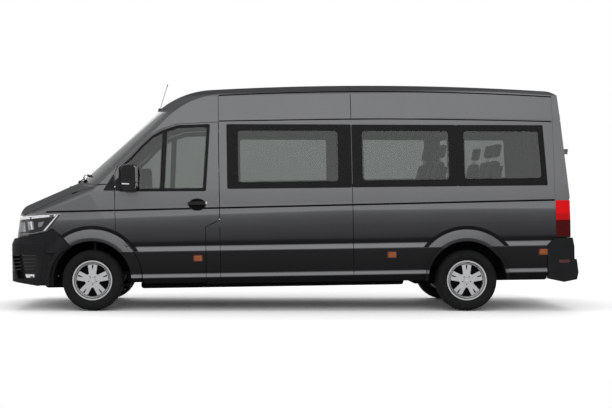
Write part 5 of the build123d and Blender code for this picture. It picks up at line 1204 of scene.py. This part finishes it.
def shoulder_lugs(name, axle_x, hand, wheel):
    """Low blocks round both shoulders of a tyre, half a step apart."""
    verts, faces = [], []
    for side in (-1, 1):
        for k in range(LUGS):
            n = len(verts)
            t = 2 * math.pi * (k + (0.5 if side > 0 else 0)) / LUGS
            for angle in (t - LUG_HALF_ANGLE, t + LUG_HALF_ANGLE):
                for r, out in LUG_SECTION:
                    x, z = axle_x + r * math.cos(angle), TYRE_RADIUS + r * math.sin(angle)
                    verts.append(Vector((x, hand * WHEEL_Y + side * out, z)))
            faces += [(n, n + 1, n + 2, n + 3), (n + 4, n + 7, n + 6, n + 5)]
            faces += [(n + i, n + 4 + i, n + 4 + (i + 1) % 4, n + (i + 1) % 4) for i in range(4)]
    solid(name, verts, faces, "tyre", wheel)


for end, axle_x in (("front", FRONT_AXLE_X), ("rear", REAR_AXLE_X)):
    for hand, side in SIDES:
        corner = f"{end}_{side}"
        wheel, axis = f"{corner}_roadwheel", Vector((0, hand, 0))
        hub = Vector((axle_x, hand * (WHEEL_Y + OUTER_FACE), TYRE_RADIUS))
        lathe(f"{corner}_cap", CAP, hub, axis, "dark_alloy", wheel, 40)
        lathe(f"{corner}_cap_rim", CAP_RIM, hub, axis, "chrome", wheel, 40)
        for k in range(BOLTS):
            spot = hub + spoke(math.pi / 2 + 2 * math.pi * (k + 0.5) / BOLTS) * BOLT_CIRCLE
            lathe(f"{corner}_bolt_{k}", BOLT, spot, axis, "dark_alloy", wheel, 6)
        lathe(f"{corner}_rim_edge", RIM_EDGE, hub + axis * 0.016, axis, "alloy", wheel, 96)
        stem = hub + spoke(VALVE_ANGLE) * VALVE_CIRCLE
        tip = stem + axis * 0.014 - spoke(VALVE_ANGLE) * 0.004
        tube(f"{corner}_valve", [stem - axis * 0.02, stem, tip], 0.0035, "rubber", wheel)
        # Dark ring behind the spokes: painted shade in the wheel's depth.
        lathe(f"{corner}_spoke_shade_ring", SPOKE_SHADE_RING, hub, axis, "shadow", wheel, 64)
        outline = arc(axle_x, CALIPER_RADII[0], -CALIPER_HALF_ANGLE, CALIPER_HALF_ANGLE)
        outline += arc(axle_x, CALIPER_RADII[1], CALIPER_HALF_ANGLE, -CALIPER_HALF_ANGLE)
        ends = (
            lambda x, z, y=hand * (WHEEL_Y + out): Vector((x, y, z)) for out in (-0.055, 0.012)
        )
        carrier = f"{side}_steered_hub" if end == "front" else BODY
        prism(f"{corner}_caliper", outline, *ends, "cast", carrier, 0.006)
        shoulder_lugs(f"{corner}_shoulder_lugs", axle_x, hand, wheel)

# ---- Seats: padded by cloth simulation, one cushion, one back and one headrest, then placed nine times
SEAT_PLACES = (
    (900, -470, 900), (900, 205, 900), (900, 640, 900), (3640, -640, 960), (3640, -195, 960),
    (3640, 640, 960), (4310, -640, 960), (4310, -195, 960), (4310, 640, 960),
)
VOXEL = 0.013
WAIST = 0.035
PRESSURE = 0.38
SWELL_CAP = 0.024
SIM_FRAMES = 20
CHANNEL = 0.31  # the long seams lie this share of the pad's width off its middle
PAD_SHAPES = {  # length, width and thickness in metres, corner radius
    "cushion": ((0.452, 0.422, 0.094), 0.036),
    "back": ((0.625, 0.42, 0.084), 0.034),
    "headrest": ((0.158, 0.24, 0.072), 0.03),
}


def pad_form(name, size, radius):
    """Rounded slab, a little hollow between its corners, remeshed evenly."""
    bm = bmesh.new()
    bmesh.ops.create_grid(bm, x_segments=8, y_segments=8, size=0.5)
    bmesh.ops.solidify(bm, geom=bm.faces[:], thickness=1.0)
    low = min(v.co.z for v in bm.verts)
    for v in bm.verts:
        x, y, z = v.co.x, v.co.y, v.co.z - low - 0.5
        waist_x, waist_y = (1 - WAIST * (1 - (2 * across) ** 2) for across in (y, x))
        v.co = (x * size[0] * waist_y, y * size[1] * waist_x, z * size[2])
    mesh = bpy.data.meshes.new(name)
    bm.to_mesh(mesh)
    bm.free()
    obj = add_object(name, mesh)
    mod = obj.modifiers.new("corner", "BEVEL")
    mod.width = radius
    mod.segments = 4
    mod.limit_method = "ANGLE"
    mod.angle_limit = math.radians(50)
    mod = obj.modifiers.new("even", "REMESH")
    mod.mode = "VOXEL"
    mod.voxel_size = VOXEL
    apply_modifiers(obj)
    bpy.data.meshes.remove(mesh)
    return obj


def apply_modifiers(obj):
    shape = evaluated_mesh(obj)
    obj.modifiers.clear()
    obj.data = shape


def groove_at(d, width):
    return math.exp(-((d / width) ** 2))


def sewn(kind, x, y, size):
    """How deep the sewn lines press in at a place on the pad's face, from 0 to 1."""
    depth = groove_at(abs(y) - size[1] * CHANNEL, 0.007)
    if abs(y) < size[1] * 0.3 and abs(x) < size[0] * 0.42:
        step = 0.088 if kind != "headrest" else 10
        near = (x / step + 0.5) % 1 - 0.5
        depth = max(depth, 0.8 * groove_at(near * step, 0.006))
    return depth


def finish_pad(kind, obj, size, before):
    """Seams and piping pressed into the swollen form."""
    mesh = obj.data
    for v, start in zip(mesh.vertices, before):
        move = v.co - start
        if move.length > SWELL_CAP:
            v.co = start + move.normalized() * SWELL_CAP
        if kind != "headrest" and v.co.z < -size[2] * 0.36:
            v.co.z = max(v.co.z, -size[2] * 0.5 - 0.004)
    mesh.update()
    normals = [v.normal.copy() for v in mesh.vertices]
    for v, normal in zip(mesh.vertices, normals):
        if normal.z > 0.35:
            v.co -= normal * 0.011 * sewn(kind, v.co.x, v.co.y, size)
        rim = groove_at(v.co.z - size[2] * 0.22, 0.006) * max(0.0, 1 - abs(normal.z) * 1.4)
        v.co -= normal * 0.006 * rim
    for poly in mesh.polygons:
        poly.use_smooth = True
        on_panel = abs(poly.center.y) < size[1] * CHANNEL and poly.normal.z > 0.3
        poly.material_index = 0 if on_panel else 1
    mesh.update()


pads = {kind: pad_form(f"pad_{kind}", *shape) for kind, shape in PAD_SHAPES.items()}
for obj in pads.values():
    obj.data.materials.clear()
    for finish in ("cloth", "cloth_bolster"):
        obj.data.materials.append(M[finish])
starts = {kind: [v.co.copy() for v in obj.data.vertices] for kind, obj in pads.items()}
for obj in pads.values():
    mod = obj.modifiers.new("cloth", "CLOTH")
    mod.settings.use_pressure = True
    mod.settings.uniform_pressure_force = PRESSURE
    mod.settings.effector_weights.gravity = 0
    mod.settings.quality = 5
    mod.point_cache.frame_start = 1
    mod.point_cache.frame_end = SIM_FRAMES
for step in range(1, SIM_FRAMES + 1):
    bpy.context.scene.frame_set(step)
for obj in pads.values():
    apply_modifiers(obj)
bpy.context.scene.frame_set(1)
for kind, obj in pads.items():
    finish_pad(kind, obj, PAD_SHAPES[kind][0], starts[kind])


def placed(origin, forward, side, up):
    """Placement with the pad's length, width and thickness along three world directions."""
    m = Matrix((forward, side, up)).transposed().to_4x4()
    m.translation = origin
    return m


CUSHION_AT, BACK_FOOT = (230, 60), (470, 150)
BACK_RISE, HEADREST_RISE, POST_RISES, POST_Y = 0.32, 0.765, (0.6, 0.66, 0.73), 70
BACK_LEAN = math.radians(12)
BACK_UP = UP * math.cos(BACK_LEAN) + ALONG * math.sin(BACK_LEAN)
BACK_FRONT = -ALONG * math.cos(BACK_LEAN) + UP * math.sin(BACK_LEAN)
for k, (a, y, z) in enumerate(SEAT_PLACES):
    foot = at(a + BACK_FOOT[0], y, z + BACK_FOOT[1])
    places = {
        "cushion": placed(at(a + CUSHION_AT[0], y, z + CUSHION_AT[1]), ALONG, RIGHT, UP),
        "back": placed(foot + BACK_UP * BACK_RISE, BACK_UP, RIGHT, BACK_FRONT),
        "headrest": placed(foot + BACK_UP * HEADREST_RISE, BACK_UP, RIGHT, BACK_FRONT),
    }
    for kind, matrix in places.items():
        pad = add_object(f"seat_{k}_{kind}", pads[kind].data.copy())
        pad.matrix_world = matrix
        mod = pad.modifiers.new("smooth", "SUBSURF")
        mod.levels = 1
        mod.render_levels = 1
        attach(pad, BODY)
        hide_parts("seat_cushions" if kind == "cushion" else "seat_backs")
    for side in (-POST_Y, POST_Y):
        root = foot + RIGHT * side / 1000
        bar = [root + BACK_UP * rise for rise in POST_RISES]
        post = tube(f"seat_{k}_post_{side + POST_Y}", bar, 0.006, "chrome")
        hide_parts("seat_backs")
for obj in pads.values():
    bpy.data.objects.remove(obj)

# ---- Cabin fittings, placed from the dashboard's rear upper edge
dash_rear = (Vector(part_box("dashboard")[1]).x - FRONT_AXLE_X) * 1000
dash_top = Vector(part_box("dashboard")[1]).z * 1000
VENT_PLACES, VENT_SLATS, SLAT_GAP = (-760, -180, 190, 760), 3, 17
GEAR_Y = -10


def dash_block(name, low, high, finish, bevel):
    corners = [(dash_rear + a, y, dash_top + z) for a, y, z in (low, high)]
    block(name, *corners, finish, bevel)


def gear_spot(a, z):
    return at(dash_rear + a, GEAR_Y, dash_top + z)


dash_block("cluster_hood", (-150, -520, -60), (-6, -280, 46), "dash", 0.022)
dash_block("cluster_screen", (-40, -500, -46), (-2, -300, 28), "gloss", 0.006)
dash_block("centre_screen", (-30, -110, -150), (8, 130, -10), "gloss", 0.006)
for k, y in enumerate(VENT_PLACES):
    dash_block(f"air_vent_{k}", (-20, y - 62, -92), (4, y + 62, -34), "trim", 0.008)
    for j in range(VENT_SLATS):
        z = SLAT_GAP * j - 80
        dash_block(f"vent_{k}_slat_{j}", (-4, y - 54, z), (8, y + 54, z + 5), "gloss", 0.0015)
dash_block("gear_console", (-60, -90, -330), (70, 70, -250), "dash", 0.02)
tube("gear_lever", [gear_spot(20, -262), gear_spot(30, -190), gear_spot(44, -150)], 0.008, "trim")
knob = [(0.0005, 0.05), (0.014, 0.047), (0.023, 0.034), (0.024, 0.016), (0.014, -0.004), (0.0005, -0.006)]
lathe("gear_knob", knob, gear_spot(42, -156), UP, "gloss", BODY, 28)

WHEEL_LEAN = math.radians(38)
column = at(660, -400, 1385)
wheel_up = UP * math.cos(WHEEL_LEAN) - ALONG * math.sin(WHEEL_LEAN)
wheel_axis = ALONG * math.cos(WHEEL_LEAN) + UP * math.sin(WHEEL_LEAN)
outline = rounded([(-0.075, -0.05), (0.075, -0.05), (0.085, 0.045), (-0.085, 0.045)], 0.03)
ends = levels(lambda x, y, out: column + RIGHT * x + wheel_up * y + wheel_axis * out, -0.012, 0.026)
prism("steering_pad", outline, *ends, "dash", "steering", 0.012)

# ---- Inner faces of the painted shells get the cabin's lining, arches and undersides the dark finish
ARCH_TOP_Z = 585
SKIN = 12
for name in PAINTED:
    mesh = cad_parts[name].data
    lining = len(mesh.materials)
    for finish in ("lining", "under"):
        mesh.materials.append(M[finish])
    for poly in mesh.polygons:
        c, n = poly.center, poly.normal
        a = (c.x - FRONT_AXLE_X) * 1000
        z = c.z * 1000 - a * math.sin(RAKE)
        inward = -n.y if c.y > 0 else n.y
        deep = side_half(a, z) - abs(c.y) * 1000
        if name in ("front_fenders", "bonnet"):
            if inward > 0.5 and deep > SKIN or n.z < -0.5:
                poly.material_index = lining + 1
        elif "rear_door" in name:
            if n.x < -0.5 and a < tail_at(z) - 14:
                poly.material_index = lining
        elif z < ARCH_TOP_Z and deep > 25 and (inward > 0.3 or n.z < -0.3 or deep > 60):
            poly.material_index = lining + 1
        elif name == "roof_panel":
            if n.z < -0.3 or (inward > 0.3 and deep > SKIN):
                poly.material_index = lining
        elif deep > SKIN and (inward > 0.3 or n.z < -0.5):
            poly.material_index = lining

# ---- Stage, camera and light
FLOOR_HALF = 60
FLOOR_WHITE, FLOOR_REFLECTED = 1.35, 0.3
# The floor turns into the white backdrop between these distances, taken shorter along the body.
FADE, FADE_ALONG = (3.4, 6.5), 0.62
AMBIENT = 0.5


def seen_directly(m):
    """1 for camera, glossy and transmission rays, 0 for the rest."""
    path = m.add("ShaderNodeLightPath")
    total = path.outputs["Is Camera Ray"]
    for other in ("Is Glossy Ray", "Is Transmission Ray"):
        total = m.math("MAXIMUM", total, path.outputs[other])
    return total


def floor_material():
    """White floor that keeps the shadow near the vehicle and runs into the white backdrop."""
    m = look("studio_floor")
    near = m.add("ShaderNodeBsdfDiffuse", {"Color": grey(FLOOR_WHITE)})
    far = m.add("ShaderNodeEmission", {"Strength": 1.0})
    dull = m.add("ShaderNodeBsdfDiffuse", {"Color": grey(FLOOR_REFLECTED)})
    x, y, _ = m.axes()
    fade = m.map_range(m.hypotenuse(m.math("MULTIPLY", x, FADE_ALONG), y), *FADE, 0, 1)
    white = m.mix_shader(fade, near.outputs[0], far.outputs[0])
    return m.surface(m.mix_shader(seen_directly(m), dull.outputs[0], white))


mesh = bpy.data.meshes.new("floor")
corners = ((-1, -1), (1, -1), (1, 1), (-1, 1))
mesh.from_pydata([(FLOOR_HALF * x, FLOOR_HALF * y, 0) for x, y in corners], [], [(0, 1, 2, 3)])
mesh.materials.append(floor_material())
add_object("floor", mesh)

studio = Nodes(bpy.data.worlds.new("studio"))
bpy.context.scene.world = studio.owner
background = studio.tree.nodes["Background"]
background.inputs["Color"].default_value = grey(1)
strength = studio.map_range(seen_directly(studio), 0, 1, AMBIENT, 1.0)
studio.feed(background.inputs["Strength"], strength)


def lamp(name, place, target, width, depth, power):
    data = bpy.data.lights.new(name, "AREA")
    data.energy = power
    data.shape = "RECTANGLE" if width != depth else "SQUARE"
    data.size = width
    data.size_y = depth
    obj = add_object(name, data)
    obj.location = place
    obj.rotation_euler = (Vector(target) - Vector(place)).to_track_quat("-Z", "Y").to_euler()


lamp("top_light", (0, 0, 9), (0, 0, 0), 12, 7, 260)
lamp("left_light", (-1, -13, 7.5), (0, 0, 1.3), 17, 9, 500)
lamp("right_light", (1, 13, 7.5), (0, 0, 1.3), 17, 9, 440)
lamp("nose_light", (-13, -3, 5), (-2, 0, 1), 8, 8, 190)
lamp("tail_light", (13, 3, 5), (2, 0, 1), 8, 8, 190)

data = bpy.data.cameras.new("camera")
data.lens = 69.1
data.sensor_width = 36
data.shift_x = 0.0949
data.shift_y = -0.0059
data.clip_end = 200
camera = add_object("camera", data)
camera.location = (-0.536, -15.04, 1.326)
camera.rotation_euler = (math.radians(90), 0, 0)
bpy.context.scene.camera = camera
bpy.context.scene.view_settings.view_transform = "Standard"
